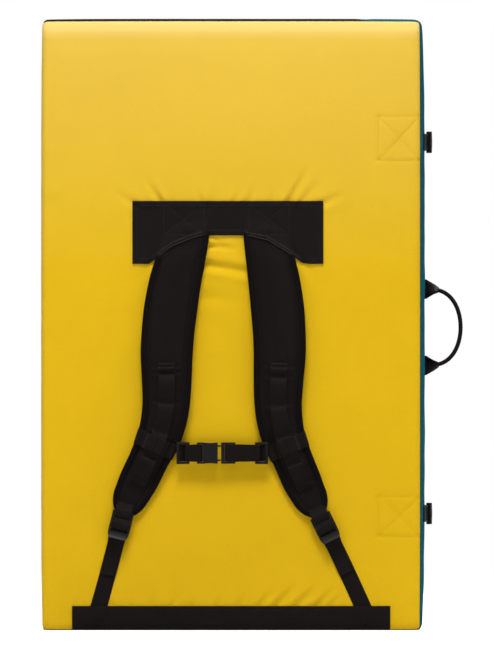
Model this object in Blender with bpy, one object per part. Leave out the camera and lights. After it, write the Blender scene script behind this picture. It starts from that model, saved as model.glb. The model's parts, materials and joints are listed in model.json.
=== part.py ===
"""Folding bouldering crash pad with a shoulder harness, standing folded on its short edge.

Two fabric covered foam halves hinge along one long edge (the spine, at -X).
The harness lies on the front half, whose outer face looks towards -Y.
Two side release buckles and a webbing handle are on the open long edge, at +X.
"""
import math

import bmesh
import bpy
from mathutils import Vector

# Pad halves
PAD_HEIGHT = 1.0
FACE_REACH = 0.3147
HALF_DEPTH = 0.0934
FACE_CROWN = 0.006
OPEN_BULGE = 0.005
SPINE_BULGE = 0.0025
TOP_BULGE = 0.003
OPEN_EDGE_ROUND = 0.015
SPINE_EDGE_ROUND = 0.009
END_EDGE_ROUND = 0.014
OUTER_EDGE_ROUND = 0.018
LANDING_EDGE_ROUND = 0.010
MID_GAP = 0.0006
FABRIC = 0.0013
SEAM_GAP = 0.0003
LAYER_GAP = 0.0005
FOAM_GAP = 0.0009
CORNER_WRAP = 0.0958
LANDING_FOAM = 0.016
BASE_FOAM = 0.012

# Fold hinge
HINGE_STRIP_WIDTH = 0.050
HINGE_STRIP_INSET = 0.035
HINGE_CLEARANCE = 0.0009

# Webbing
WEBBING_WIDTH = 0.027
WEBBING = 0.0016
WEB_GAP = 0.0004

# Patches on the front face
YOKE_LEFT = -0.1657
YOKE_RIGHT = 0.1472
YOKE_TOP = 0.7040
YOKE_LOW = 0.6007
YOKE_ARCH_RISE = 0.0469
YOKE_THICK = 0.0018
BAND_SPINE_INSET = 0.0500
BAND_OPEN_INSET = 0.0577
BAND_TOP = 0.0402
BAND_THICK = 0.0018

# Shoulder straps
HARNESS_X = -0.0164
STRAP_TOP_Z = 0.6476
STRAP_DROP = 0.4590
STRAP_SPREAD = 0.160
STRAP_WIDTH = 0.087
STRAP_EDGE_FOAM = 0.0030
STRAP_CROWN = 0.0075
STRAP_SKIN = 0.0010
STRAP_LIFT = 0.010
STRAP_BASE = 0.0021
STRAP_YOKE_GAP = 0.0006
STRAP_ROWS = 14
TIP_ROWS = 3
BINDING_JAW = 0.007
BINDING_MARGIN = 0.0045
BINDING_THICK = 0.0010
DAISY_LOOP_RISE = 0.0030
DAISY_TACK_LENGTH = 0.004
STERNUM_BAND_WIDTH = 0.026

# Ladder locks
LOCK_WIDTH = 0.0350
LOCK_RAIL = 0.0030
LOCK_BAR = 0.0030
LOCK_TOP_BAR = 0.0045
LOCK_LOOP_SLOT = 0.0075
LOCK_MID_BAR = 0.0040
LOCK_THREAD_SLOT = 0.0050
LOCK_GRIP_BAR = 0.0080
LOCK_TONGUE = 0.0125
LOCK_TONGUE_RISE = 0.0050
LOCK_LOOP_LENGTH = 0.024
LEFT_LOCK_X = -0.1800
LEFT_LOCK_Z = 0.1950
LEFT_LOCK_TILT_DEG = 14
LEFT_ANCHOR_INSET = 0.0441
RIGHT_LOCK_X = 0.1412
RIGHT_LOCK_Z = 0.1890
RIGHT_LOCK_TILT_DEG = 26
RIGHT_ANCHOR_INSET = 0.0455
LEFT_TAIL_Z = 0.0910
RIGHT_TAIL_Z = 0.0950

# Side release buckles
BUCKLE_WIDTH = 0.0350
BUCKLE_THICK = 0.0090
BUCKLE_PLATE = 0.0016
BUCKLE_BAR_THICK = 0.0036
BUCKLE_BAR = 0.0035
BUCKLE_SLOT = 0.0062
BUCKLE_BACK_WALL = 0.0028
BUCKLE_CAVITY = 0.0215
BUCKLE_WINDOW_START = 0.0030
BUCKLE_WINDOW = 0.0105
BUCKLE_SIDE_WALL = 0.0030
BUCKLE_WAIST = 0.0020
BUCKLE_MOUTH_GAP = 0.0055
BUCKLE_RUN_GAP = 0.0004
LATCH_ARM = 0.0028
LATCH_PAD = 0.0030
MALE_BASE = 0.0060
MALE_SLOT = 0.0058
MALE_BAR = 0.0035
MALE_END_SLOT = 0.0040
MALE_END_BAR = 0.0040

# Sternum strap
STERNUM_Z = 0.2909
STERNUM_LEFT_RING_X = -0.0935
STERNUM_RIGHT_RING_X = 0.0567
STERNUM_FEMALE_X = -0.0598
RING_LENGTH = 0.0215
RING_WIDTH = 0.0360
RING_BAR = 0.0042
RING_THICK = 0.0038
STERNUM_LEVEL = 0.0072

# Closures and handle on the open side
CLOSURE_HEIGHTS = {"upper": 0.8010, "lower": 0.1910}
CLOSURE_FEMALE_Y = -0.0420
CLOSURE_LIFT = 0.0006
CLOSURE_END_INSET = 0.0124
HANDLE_LOW_Z = 0.4343
HANDLE_HIGH_Z = 0.5597
HANDLE_REACH = 0.0585
HANDLE_WIDTH = 0.030
HANDLE_THICK = 0.0050
HANDLE_ROOT_THICK = 0.0030
HANDLE_KNUCKLE = 0.0004
HANDLE_KNUCKLE_SHARE = 0.005
HANDLE_TWIST_RATE = 6
HANDLE_BOW_POWER = 0.75
HANDLE_Y = -0.0120
HANDLE_PIVOT_OUT = 0.0030

# Strap course: share of the drop, then centre line shares of the spread at the left
# and the right, then share of the width
STRAP_SHARES = (
    (0.000, 0.382, 0.440, 0.840),
    (0.088, 0.439, 0.481, 0.890),
    (0.165, 0.494, 0.519, 0.942),
    (0.266, 0.543, 0.555, 0.972),
    (0.341, 0.567, 0.570, 0.962),
    (0.418, 0.581, 0.576, 0.952),
    (0.513, 0.581, 0.564, 0.909),
    (0.595, 0.586, 0.559, 0.866),
    (0.658, 0.610, 0.575, 0.834),
    (0.715, 0.656, 0.611, 0.794),
    (0.798, 0.762, 0.708, 0.718),
    (0.877, 0.871, 0.804, 0.701),
    (0.930, 0.947, 0.878, 0.640),
    (1.000, 1.041, 0.986, 0.620),
)
# Heights of the daisy chain's tacks, as shares of the strap's drop
LEFT_TACK_SHARES = (0.491, 0.595, 0.698, 0.791, 0.873)
RIGHT_TACK_SHARES = (0.504, 0.604, 0.716, 0.811, 0.888)
DAISY_START_SHARE = 0.466
STERNUM_BAND_SHARES = {"left": 0.747, "right": 0.754}
# Lower edge of the yoke patch: share of its width, share of the arch's rise
YOKE_EDGE_SHARES = (
    (0.000, 0.000), (0.086, 0.000), (0.118, 0.150), (0.162, 0.400), (0.206, 0.610),
    (0.298, 0.860), (0.365, 1.000), (0.590, 1.000), (0.708, 0.830), (0.815, 0.390),
    (0.850, 0.220), (0.891, 0.030), (0.930, 0.000), (1.000, 0.000),
)
TIP_START_SHARE = 0.925
TIP_NARROW_SHARE = 0.40
CROWN_FADE_SHARE = 0.80
CROWN_END_SHARE = 0.92
UNIT_STEPS = 2
HALF_SIGNS = {"front": -1, "rear": 1}
SIDE_SIGNS = {"left": -1, "right": 1}

X_OPEN = FACE_REACH - OPEN_BULGE
X_SPINE = -(FACE_REACH - SPINE_BULGE)
X_MID = (X_OPEN + X_SPINE) / 2
X_HALF = (X_OPEN - X_SPINE) / 2
BAND_LEFT = BAND_SPINE_INSET - FACE_REACH
BAND_RIGHT = FACE_REACH - BAND_OPEN_INSET
LEFT_ANCHOR_X = BAND_LEFT + LEFT_ANCHOR_INSET
RIGHT_ANCHOR_X = BAND_RIGHT - RIGHT_ANCHOR_INSET
FOLD_X = -(FACE_REACH + LAYER_GAP + WEBBING + HINGE_CLEARANCE)
STRAP_EDGE = 2 * STRAP_SKIN + 2 * SEAM_GAP + STRAP_EDGE_FOAM
BINDING_TOP = STRAP_EDGE + WEB_GAP + BINDING_THICK
LOCK_LEVEL = BINDING_TOP + WEB_GAP + WEBBING + WEB_GAP
BUCKLE_LENGTH = BUCKLE_BAR + BUCKLE_SLOT + BUCKLE_BACK_WALL + BUCKLE_CAVITY
MALE_LENGTH = MALE_BASE + MALE_SLOT + MALE_BAR + MALE_END_SLOT + MALE_END_BAR
STERNUM_MALE_X = STERNUM_FEMALE_X + BUCKLE_LENGTH + BUCKLE_MOUTH_GAP

COLOURS = {
    "shell_yellow": ((0.80, 0.56, 0.045), 0.82),
    "gusset_black": ((0.012, 0.012, 0.014), 0.85),
    "gusset_blue": ((0.012, 0.14, 0.20), 0.80),
    "landing_black": ((0.020, 0.020, 0.023), 0.88),
    "foam_firm": ((0.10, 0.10, 0.11), 0.95),
    "foam_soft": ((0.62, 0.60, 0.52), 0.97),
    "webbing_black": ((0.010, 0.010, 0.011), 0.80),
    "strap_black": ((0.009, 0.009, 0.010), 0.85),
    "mesh_black": ((0.014, 0.014, 0.016), 0.90),
    "plastic_black": ((0.015, 0.015, 0.017), 0.42),
}


def clear_scene():
    """Remove whatever the file holds."""
    for obj in list(bpy.data.objects):
        bpy.data.objects.remove(obj, do_unlink=True)


def finish_material(slot):
    """Return the finish of one kind of surface, made once."""
    made = bpy.data.materials.get(slot)
    if made:
        return made
    colour, roughness = COLOURS[slot]
    made = bpy.data.materials.new(slot)
    made.use_nodes = True
    shader = made.node_tree.nodes["Principled BSDF"]
    shader.inputs["Base Color"].default_value = (*colour, 1.0)
    shader.inputs["Roughness"].default_value = roughness
    shader.inputs["Metallic"].default_value = 0.0
    return made


def add_empty(name, location, parent=None):
    """Add a joint axis or a frame origin."""
    empty = bpy.data.objects.new(name, None)
    empty.location = location
    if parent:
        empty.parent = parent
    bpy.context.collection.objects.link(empty)
    return empty


def add_solid(name, points, faces, slot, parent, bevel=0.0):
    """Make one closed body from world points and hang it on its body's empty."""
    origin = AXES[parent]
    shape = bmesh.new()
    corners = [shape.verts.new(Vector(point) - origin) for point in points]
    for face in faces:
        shape.faces.new([corners[index] for index in face])
    bmesh.ops.recalc_face_normals(shape, faces=shape.faces)
    if shape.calc_volume(signed=True) < 0:
        bmesh.ops.reverse_faces(shape, faces=shape.faces)
    mesh = bpy.data.meshes.new(name)
    shape.to_mesh(mesh)
    shape.free()
    mesh.shade_smooth()
    mesh.set_sharp_from_angle(angle=math.radians(35))
    mesh.materials.append(finish_material(slot))
    solid = bpy.data.objects.new(name, mesh)
    solid.parent = BODIES[parent]
    bpy.context.collection.objects.link(solid)
    if bevel:
        rounding = solid.modifiers.new("edge_round", "BEVEL")
        rounding.width = bevel
        rounding.segments = 1
        rounding.limit_method = "ANGLE"
        rounding.angle_limit = math.radians(60)
    return solid


def sheet_faces(rows, columns):
    """Faces of a closed sheet: an upper grid of points, then a lower one."""
    count = rows * columns
    faces = []
    for row in range(rows - 1):
        for column in range(columns - 1):
            near = row * columns + column
            far = near + columns
            faces.append((near, near + 1, far + 1, far))
            faces.append((count + near, count + far, count + far + 1, count + near + 1))
    rim = list(range(columns))
    rim += [row * columns + columns - 1 for row in range(1, rows)]
    rim += [(rows - 1) * columns + column for column in range(columns - 2, -1, -1)]
    rim += [row * columns for row in range(rows - 2, 0, -1)]
    for index, start in enumerate(rim):
        end = rim[(index + 1) % len(rim)]
        faces.append((start, count + start, count + end, end))
    return faces


def sweep_faces(frames, corners):
    """Faces of a profile carried along an open row of frames, with both ends capped."""
    faces = []
    for frame in range(frames - 1):
        for corner in range(corners):
            following = (corner + 1) % corners
            near = frame * corners
            far = near + corners
            faces.append((near + corner, near + following, far + following, far + corner))
    faces.append(tuple(range(corners)))
    faces.append(tuple((frames - 1) * corners + corner for corner in range(corners)))
    return faces


def cell_solid(along, across, over, filled, place):
    """Points and faces of the filled cells of a grid, each grid point moved by place."""
    points = []
    faces = []
    numbers = {}

    def corner(i, j, k):
        if (i, j, k) not in numbers:
            numbers[(i, j, k)] = len(points)
            points.append(place(along[i], across[j], over[k]))
        return numbers[(i, j, k)]

    sides = (
        ((1, 0, 0), ((1, 0, 0), (1, 1, 0), (1, 1, 1), (1, 0, 1))),
        ((-1, 0, 0), ((0, 0, 0), (0, 0, 1), (0, 1, 1), (0, 1, 0))),
        ((0, 1, 0), ((0, 1, 0), (0, 1, 1), (1, 1, 1), (1, 1, 0))),
        ((0, -1, 0), ((0, 0, 0), (1, 0, 0), (1, 0, 1), (0, 0, 1))),
        ((0, 0, 1), ((0, 0, 1), (1, 0, 1), (1, 1, 1), (0, 1, 1))),
        ((0, 0, -1), ((0, 0, 0), (0, 1, 0), (1, 1, 0), (1, 0, 0))),
    )
    limits = (len(along) - 1, len(across) - 1, len(over) - 1)

    def is_filled(i, j, k):
        inside = 0 <= i < limits[0] and 0 <= j < limits[1] and 0 <= k < limits[2]
        return inside and filled(i, j, k)

    for i in range(limits[0]):
        for j in range(limits[1]):
            for k in range(limits[2]):
                if not is_filled(i, j, k):
                    continue
                for step, ring in sides:
                    if is_filled(i + step[0], j + step[1], k + step[2]):
                        continue
                    faces.append(tuple(corner(i + a, j + b, k + c) for a, b, c in ring))
    return points, faces


def spread(low, high, low_round, high_round, middle, round_steps=UNIT_STEPS):
    """Stations from low to high, closer together in the rounded ends."""
    stations = [low + low_round * step / round_steps for step in range(round_steps)]
    start = low + low_round
    end = high - high_round
    stations += [start + (end - start) * step / middle for step in range(middle + 1)]
    stations += [end + high_round * step / round_steps for step in range(1, round_steps)]
    return stations + [high]


def clamp(value, low, high):
    """Hold a value between two limits."""
    return max(low, min(high, value))


def crown_at(x, z):
    """Swell of a half's outer face over its rounded box."""
    across = clamp(abs((x - X_MID) / X_HALF), 0, 1)
    along = clamp(abs(2 * z / PAD_HEIGHT - 1), 0, 1)
    return FACE_CROWN * (1 - across ** 3) * (1 - along ** 4)


def skin_point(half, x, z, depth, offset):
    """Point of a half's skin for a point on its box, offset outward."""
    round_x = SPINE_EDGE_ROUND if x < X_MID else OPEN_EDGE_ROUND
    round_depth = LANDING_EDGE_ROUND if depth < HALF_DEPTH / 2 else OUTER_EDGE_ROUND
    core = (
        clamp(x, X_SPINE + round_x, X_OPEN - round_x),
        clamp(z, END_EDGE_ROUND, PAD_HEIGHT - END_EDGE_ROUND),
        clamp(depth, round_depth, HALF_DEPTH - round_depth),
    )
    rounds = (round_x, END_EDGE_ROUND, round_depth)
    lean = Vector([(value - base) / size for value, base, size in zip((x, z, depth), core, rounds)])
    lean.normalize()
    px, pz, pd = (base + part * (size + offset) for base, part, size in zip(core, lean, rounds))
    across = clamp((px - X_MID) / X_HALF, -1, 1)
    along = clamp(2 * pz / PAD_HEIGHT - 1, -1, 1)
    belly = math.sin(math.pi * clamp(pd / HALF_DEPTH, 0, 1))
    bulge = OPEN_BULGE if across > 0 else SPINE_BULGE
    px += math.copysign(bulge, across) * across ** 2 * belly * (1 - along ** 6)
    pz += TOP_BULGE * max(0, along) ** 2 * belly * (1 - across ** 6)
    pd += crown_at(px, pz) * pd / HALF_DEPTH
    return Vector((px, HALF_SIGNS[half] * (MID_GAP + pd), pz))


def skin_panel(name, half, path, cross, slot, body, low=-FABRIC, high=0.0):
    """One sewn panel: box points along a path, carried across the panel."""
    upper = [skin_point(half, *cross(point, share), high) for point in path for share in cross.shares]
    lower = [skin_point(half, *cross(point, share), low) for point in path for share in cross.shares]
    faces = sheet_faces(len(path), len(cross.shares))
    return add_solid(name, upper + lower, faces, slot, body)


class Across:
    """Places panel points: a path point and a station give a point on the box."""

    def __init__(self, shares, place):
        self.shares = shares
        self.place = place

    def __call__(self, point, share):
        return self.place(point, share)


def make_half(half):
    """Covers and foam of one half."""
    body = "front_half" if half == "front" else "rear_half"
    edge = SEAM_GAP
    depths = spread(edge, HALF_DEPTH - edge, LANDING_EDGE_ROUND, OUTER_EDGE_ROUND, 2)
    heights = spread(edge, PAD_HEIGHT - edge, END_EDGE_ROUND, END_EDGE_ROUND, 8)
    widths = spread(X_SPINE, X_OPEN - edge, SPINE_EDGE_ROUND, OPEN_EDGE_ROUND, 8)
    shell_path = [(x, HALF_DEPTH) for x in reversed(widths)]
    shell_path += [(X_SPINE, depth) for depth in reversed(depths)][1:]
    shell_across = Across(heights, lambda point, z: (point[0], z, point[1]))
    skin_panel(f"{half}_outer_shell", half, shell_path, shell_across, "shell_yellow", body)

    wrap_start = X_OPEN - CORNER_WRAP
    corner = spread(wrap_start, X_OPEN, 0, OPEN_EDGE_ROUND, 2)[UNIT_STEPS:]
    rise = spread(0, PAD_HEIGHT, END_EDGE_ROUND, END_EDGE_ROUND, 8)
    gusset_path = [(x, PAD_HEIGHT) for x in corner]
    gusset_path += [(X_OPEN, z) for z in reversed(rise)][1:]
    gusset_path += [(x, 0) for x in reversed(corner)][1:]
    gusset_across = Across(depths, lambda point, depth: (point[0], point[1], depth))
    skin_panel(f"{half}_open_gusset", half, gusset_path, gusset_across, "gusset_blue", body)

    blue_start = corner[0]
    span = [X_SPINE + edge + SPINE_EDGE_ROUND * step / UNIT_STEPS for step in range(UNIT_STEPS)]
    first = X_SPINE + edge + SPINE_EDGE_ROUND
    last = blue_start - SEAM_GAP
    span += [first + (last - first) * step / 5 for step in range(6)]
    for label, z in (("top", PAD_HEIGHT), ("bottom", 0)):
        path = [(x, z) for x in span]
        skin_panel(f"{half}_{label}_gusset", half, path, gusset_across, "gusset_black", body)

    landing_path = spread(X_SPINE + edge, X_OPEN - edge, SPINE_EDGE_ROUND, OPEN_EDGE_ROUND, 2)
    landing_heights = spread(edge, PAD_HEIGHT - edge, END_EDGE_ROUND, END_EDGE_ROUND, 2)
    landing_across = Across(landing_heights, lambda x, z: (x, z, 0))
    skin_panel(f"{half}_landing_panel", half, landing_path, landing_across, "landing_black", body)

    make_foam(half, body)


def make_foam(half, body):
    """Three foam slabs that fill one half's cover."""
    inset = -(FABRIC + FOAM_GAP)
    across = spread(X_SPINE, X_OPEN, SPINE_EDGE_ROUND, OPEN_EDGE_ROUND, 4, 1)
    along = spread(0, PAD_HEIGHT, END_EDGE_ROUND, END_EDGE_ROUND, 6, 1)
    core_low = LANDING_FOAM
    core_high = HALF_DEPTH - BASE_FOAM - OUTER_EDGE_ROUND / 2
    landing = [0, LANDING_EDGE_ROUND]
    base = [HALF_DEPTH, HALF_DEPTH - OUTER_EDGE_ROUND]
    slabs = {
        "foam_landing": (landing + [core_low - SEAM_GAP], "foam_firm"),
        "foam_core": ([core_low + SEAM_GAP, HALF_DEPTH / 2, core_high - SEAM_GAP], "foam_soft"),
        "foam_base": ([core_high + SEAM_GAP] + list(reversed(base)), "foam_firm"),
    }

    def place(x, z, depth):
        on_side = x in (across[0], across[-1]) or z in (along[0], along[-1])
        if depth == HALF_DEPTH:
            return skin_point(half, x, z, depth, inset - FOAM_GAP / 2)
        if on_side or depth == 0:
            return skin_point(half, x, z, depth, inset)
        return Vector((x, HALF_SIGNS[half] * (MID_GAP + depth), z))

    for label, (depths, slot) in slabs.items():
        points, faces = cell_solid(across, along, depths, lambda i, j, k: True, place)
        add_solid(f"{half}_{label}", points, faces, slot, body)


def make_hinge_strip():
    """Fabric strip over the gap between the two spine faces."""
    length = PAD_HEIGHT - 2 * HINGE_STRIP_INSET
    rows = 5
    columns = 9
    points = []
    for inset in (LAYER_GAP + WEBBING, LAYER_GAP):
        for row in range(rows):
            z = HINGE_STRIP_INSET + length * row / (rows - 1)
            for column in range(columns):
                y = HINGE_STRIP_WIDTH * (column / (columns - 1) - 1 / 2)
                half = "front" if y < 0 else "rear"
                depth = max(abs(y) - MID_GAP, LANDING_EDGE_ROUND / 2)
                touch = skin_point(half, X_SPINE, z, depth, inset)
                points.append((touch.x, y, z))
    add_solid("fold_hinge_strip", points, sheet_faces(rows, columns), "webbing_black", "front_half")


def face_patch(name, columns, thickness, slot, body, rows=4):
    """Cloth on the front face: each column is x with its low and high z."""
    points = []
    for inset in (WEB_GAP + thickness, WEB_GAP):
        for x, low, high in columns:
            for row in range(rows + 1):
                z = low + (high - low) * row / rows
                points.append(skin_point("front", x, z, HALF_DEPTH, inset))
    add_solid(name, points, sheet_faces(len(columns), rows + 1), slot, body)


def yoke_edge(x):
    """Height of the yoke patch's lower edge."""
    share = clamp((x - YOKE_LEFT) / (YOKE_RIGHT - YOKE_LEFT), 0, 1)
    for (near, low), (far, high) in zip(YOKE_EDGE_SHARES, YOKE_EDGE_SHARES[1:]):
        if share <= far:
            blend = (share - near) / (far - near)
            return YOKE_LOW + YOKE_ARCH_RISE * (low + (high - low) * blend)
    return YOKE_LOW


def make_patches():
    """Yoke patch that holds the strap tops, and the band that holds the lower webbing."""
    width = YOKE_RIGHT - YOKE_LEFT
    columns = [YOKE_LEFT + width * share for share, rise in YOKE_EDGE_SHARES]
    yoke = [(x, yoke_edge(x), YOKE_TOP) for x in columns]
    face_patch("yoke_patch", yoke, YOKE_THICK, "webbing_black", "front_half")
    count = 8
    step = (BAND_RIGHT - BAND_LEFT) / count
    band = [(BAND_LEFT + step * index, SEAM_GAP, BAND_TOP) for index in range(count + 1)]
    face_patch("bottom_band", band, BAND_THICK, "webbing_black", "front_half", rows=8)


def strap_lift(z):
    """Bow of the straps off the face, none at the yoke and the tips."""
    share = clamp((STRAP_TOP_Z - z) / STRAP_DROP, 0, 1)
    return STRAP_LIFT * math.sin(math.pi * share) ** 2


def lay(x, z, level):
    """Point over the front face at a level above the straps' back."""
    face = MID_GAP + HALF_DEPTH + crown_at(x, z)
    return Vector((x, -(face + STRAP_BASE + strap_lift(z) + level), z))


def through(table, share, column):
    """Smooth curve through a table's rows, read at a share of its first column."""
    last = len(table) - 1
    index = 0
    while index < last - 1 and share > table[index + 1][0]:
        index += 1
    near, far = table[index], table[index + 1]
    before = table[max(index - 1, 0)]
    after = table[min(index + 2, last)]
    gap = far[0] - near[0]
    local = clamp((share - near[0]) / gap, 0, 1)
    near_slope = (far[column] - before[column]) / (far[0] - before[0]) * gap
    far_slope = (after[column] - near[column]) / (after[0] - near[0]) * gap
    square, cube = local ** 2, local ** 3
    return (
        near[column] * (2 * cube - 3 * square + 1)
        + near_slope * (cube - 2 * square + local)
        + far[column] * (3 * square - 2 * cube)
        + far_slope * (cube - square)
    )


class Strap:
    """Plan of one shoulder strap on the front face."""

    def __init__(self, side):
        self.side = side
        self.sign = SIDE_SIGNS[side]
        self.column = 1 if side == "left" else 2

    def centre(self, share):
        """Centre line in plan, as x and z."""
        offset = STRAP_SPREAD * through(STRAP_SHARES, share, self.column)
        return Vector((HARNESS_X + self.sign * offset, STRAP_TOP_Z - STRAP_DROP * share))

    def width(self, share):
        """Width, drawn in round at the tip."""
        full = STRAP_WIDTH * through(STRAP_SHARES, share, 3)
        if share <= TIP_START_SHARE:
            return full
        beyond = (share - TIP_START_SHARE) / (1 - TIP_START_SHARE)
        return full * math.sqrt(max(1 - beyond ** 2, TIP_NARROW_SHARE ** 2))

    def inward(self, share):
        """Unit direction in plan from the outer edge to the inner edge."""
        step = 1 / 200
        run = self.centre(min(share + step, 1)) - self.centre(max(share - step, 0))
        run.normalize()
        return Vector((run.y, -run.x)) * self.sign

    def point(self, share, across):
        """Plan point at a place across the strap, from -1 outer to 1 inner."""
        return self.centre(share) + self.inward(share) * across * self.width(share) / 2

    def start(self, across):
        """Share at which a line along the strap comes out under the yoke patch."""
        low, high = 0.0, 1 / 4
        for _ in range(30):
            middle = (low + high) / 2
            place = self.point(middle, across)
            if place.y > yoke_edge(place.x) - STRAP_YOKE_GAP * 2:
                low = middle
            else:
                high = middle
        return high


def strap_shares(strap, across, start=None):
    """Shares along one line of the strap, closer together at the tip."""
    first = strap.start(across) if start is None else start
    body = [first + (TIP_START_SHARE - first) * step / STRAP_ROWS for step in range(STRAP_ROWS)]
    turn = [math.sin(math.pi / 2 * step / TIP_ROWS) for step in range(TIP_ROWS + 1)]
    return body + [TIP_START_SHARE + (1 - TIP_START_SHARE) * step for step in turn]


def flat_line(strap, share):
    """Place across the strap at which the flat edge under the binding ends."""
    return max(1 - (BINDING_JAW + BINDING_MARGIN) / (strap.width(share) / 2), 1 / 4)


def foam_height(strap, share, across):
    """Thickness of the strap's foam, flat under the binding and crowned between."""
    free = flat_line(strap, share)
    if abs(across) >= free:
        return STRAP_EDGE_FOAM
    rise = 1 - (across / free) ** 2
    fade = clamp((CROWN_END_SHARE - share) / (CROWN_END_SHARE - CROWN_FADE_SHARE), 0, 1)
    return STRAP_EDGE_FOAM + STRAP_CROWN * rise ** 0.7 * fade


def strap_layer(strap, name, low, high, slot, body):
    """One layer of the strap between two levels, each a function of share and place."""
    points = []
    top_flat = flat_line(strap, 0)
    lines = (-1, -top_flat, -top_flat / 2, 0, top_flat / 2, top_flat, 1)
    shares = {line: strap_shares(strap, line) for line in lines}
    rows = len(shares[0])
    for level in (high, low):
        for row in range(rows):
            for line in lines:
                share = shares[line][row]
                across = line if abs(line) == 1 else line * flat_line(strap, share) / top_flat
                place = strap.point(share, across)
                points.append(lay(place.x, place.y, level(share, across)))
    add_solid(name, points, sheet_faces(rows, len(lines)), slot, body)


def make_strap_layers(strap, body):
    """Backing mesh, foam and face fabric of one shoulder strap."""
    base = STRAP_SKIN + SEAM_GAP

    def foam_top(share, line):
        return base + foam_height(strap, share, line)

    strap_layer(strap, f"{strap.side}_strap_mesh", lambda s, u: 0.0, lambda s, u: STRAP_SKIN,
                "mesh_black", body)
    strap_layer(strap, f"{strap.side}_strap_foam", lambda s, u: base, foam_top, "foam_firm", body)
    strap_layer(strap, f"{strap.side}_strap_face",
                lambda s, u: foam_top(s, u) + SEAM_GAP,
                lambda s, u: foam_top(s, u) + SEAM_GAP + STRAP_SKIN,
                "strap_black", body)


def make_binding(strap, body):
    """Folded tape round the strap's edge, from the yoke round the tip and back."""
    wall = WEB_GAP + BINDING_THICK
    edges = {}
    for across in (-1, 1):
        half = strap.width(0) / 2
        lines = (across, across * (1 + wall / half), across * (1 - BINDING_JAW / half))
        clear = max(strap.start(line) for line in lines) + 3 * STRAP_YOKE_GAP / STRAP_DROP
        shares = [share for share in strap_shares(strap, across) if share > clear]
        edges[across] = [strap.point(share, across) for share in [clear] + shares]
    course = edges[-1] + list(reversed(edges[1]))
    profile = (
        (-wall, -wall), (BINDING_JAW, -wall), (BINDING_JAW, -WEB_GAP), (-WEB_GAP, -WEB_GAP),
        (-WEB_GAP, STRAP_EDGE + WEB_GAP), (BINDING_JAW, STRAP_EDGE + WEB_GAP),
        (BINDING_JAW, STRAP_EDGE + wall), (-wall, STRAP_EDGE + wall),
    )
    points = []
    for index, place in enumerate(course):
        run = course[min(index + 1, len(course) - 1)] - course[max(index - 1, 0)]
        run.normalize()
        inside = Vector((-run.y, run.x)) if strap.side == "left" else Vector((run.y, -run.x))
        for shift, level in profile:
            spot = place + inside * shift
            points.append(lay(spot.x, spot.y, level))
    faces = sweep_faces(len(course), len(profile))
    add_solid(f"{strap.side}_strap_binding", points, faces, "webbing_black", body)


def make_daisy_chain(strap, body):
    """Webbing stitched down the strap at tacks, with low loops between them."""
    tacks = LEFT_TACK_SHARES if strap.side == "left" else RIGHT_TACK_SHARES
    stops = (DAISY_START_SHARE,) + tacks
    half_tack = DAISY_TACK_LENGTH / 2 / STRAP_DROP
    rows = []
    for near, far in zip(stops, stops[1:]):
        start = near + half_tack
        run = far - near - 2 * half_tack
        rows.append((near - half_tack, 0.0))
        for step in range(5):
            rows.append((start + run * step / 4, math.sin(math.pi * step / 4)))
    rows.append((tacks[-1] + half_tack, 0.0))
    lines = (-1.0, 0.0, 1.0)
    points = []
    for thickness in (WEBBING, 0.0):
        for share, rise in rows:
            place_share = WEBBING_WIDTH / strap.width(share)
            crest = foam_height(strap, share, 0.0)
            level = STRAP_EDGE - STRAP_EDGE_FOAM + crest + WEB_GAP + thickness
            for line in lines:
                place = strap.point(share, line * place_share)
                points.append(lay(place.x, place.y, level + DAISY_LOOP_RISE * rise))
    faces = sheet_faces(len(rows), len(lines))
    add_solid(f"{strap.side}_daisy_chain", points, faces, "webbing_black", body)


def make_sternum_band(strap, body):
    """Webbing loop round the strap that carries one end of the sternum strap."""
    share = STERNUM_BAND_SHARES[strap.side]
    half_share = STERNUM_BAND_WIDTH / 2 / STRAP_DROP
    daisy_top = STRAP_EDGE - STRAP_EDGE_FOAM + foam_height(strap, share, 0) + WEBBING
    top = daisy_top + DAISY_LOOP_RISE + 2 * WEB_GAP
    low = -(BINDING_THICK + 2 * WEB_GAP)
    side_gap = BINDING_THICK + 4 * WEB_GAP
    edge_top = BINDING_TOP + WEB_GAP
    crest_share = (WEBBING_WIDTH + WEBBING) / strap.width(share)
    flat_share = 1 - (side_gap + BINDING_JAW + BINDING_MARGIN) / (strap.width(share) / 2 + side_gap)
    right_side = ((1, low), (1, edge_top), (flat_share, edge_top + WEB_GAP / 2), (crest_share, top), (0, top))
    left_side = tuple((-across, level) for across, level in reversed(right_side[:-1]))
    ring = right_side + left_side + ((0, low),)
    corners = len(ring)
    points = []
    rows = 3
    for extra in (WEBBING, 0.0):
        for row in range(rows):
            place = share - half_share + 2 * half_share * row / (rows - 1)
            half = strap.width(place) / 2 + side_gap
            for across, level in ring:
                reach = across * half + extra * across
                outward = extra if level > 0 else -extra
                spot = strap.centre(place) + strap.inward(place) * reach
                points.append(lay(spot.x, spot.y, level + outward))
    faces = []
    count = rows * corners
    for row in range(rows - 1):
        for index in range(corners):
            following = (index + 1) % corners
            near = row * corners
            far = near + corners
            faces.append((near + index, near + following, far + following, far + index))
            faces.append((count + near + index, count + far + index,
                          count + far + following, count + near + following))
    for edge in (0, (rows - 1) * corners):
        for index in range(corners):
            following = (index + 1) % corners
            faces.append((edge + index, count + edge + index,
                          count + edge + following, edge + following))
    add_solid(f"{strap.side}_sternum_band", points, faces, "webbing_black", body)


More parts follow.
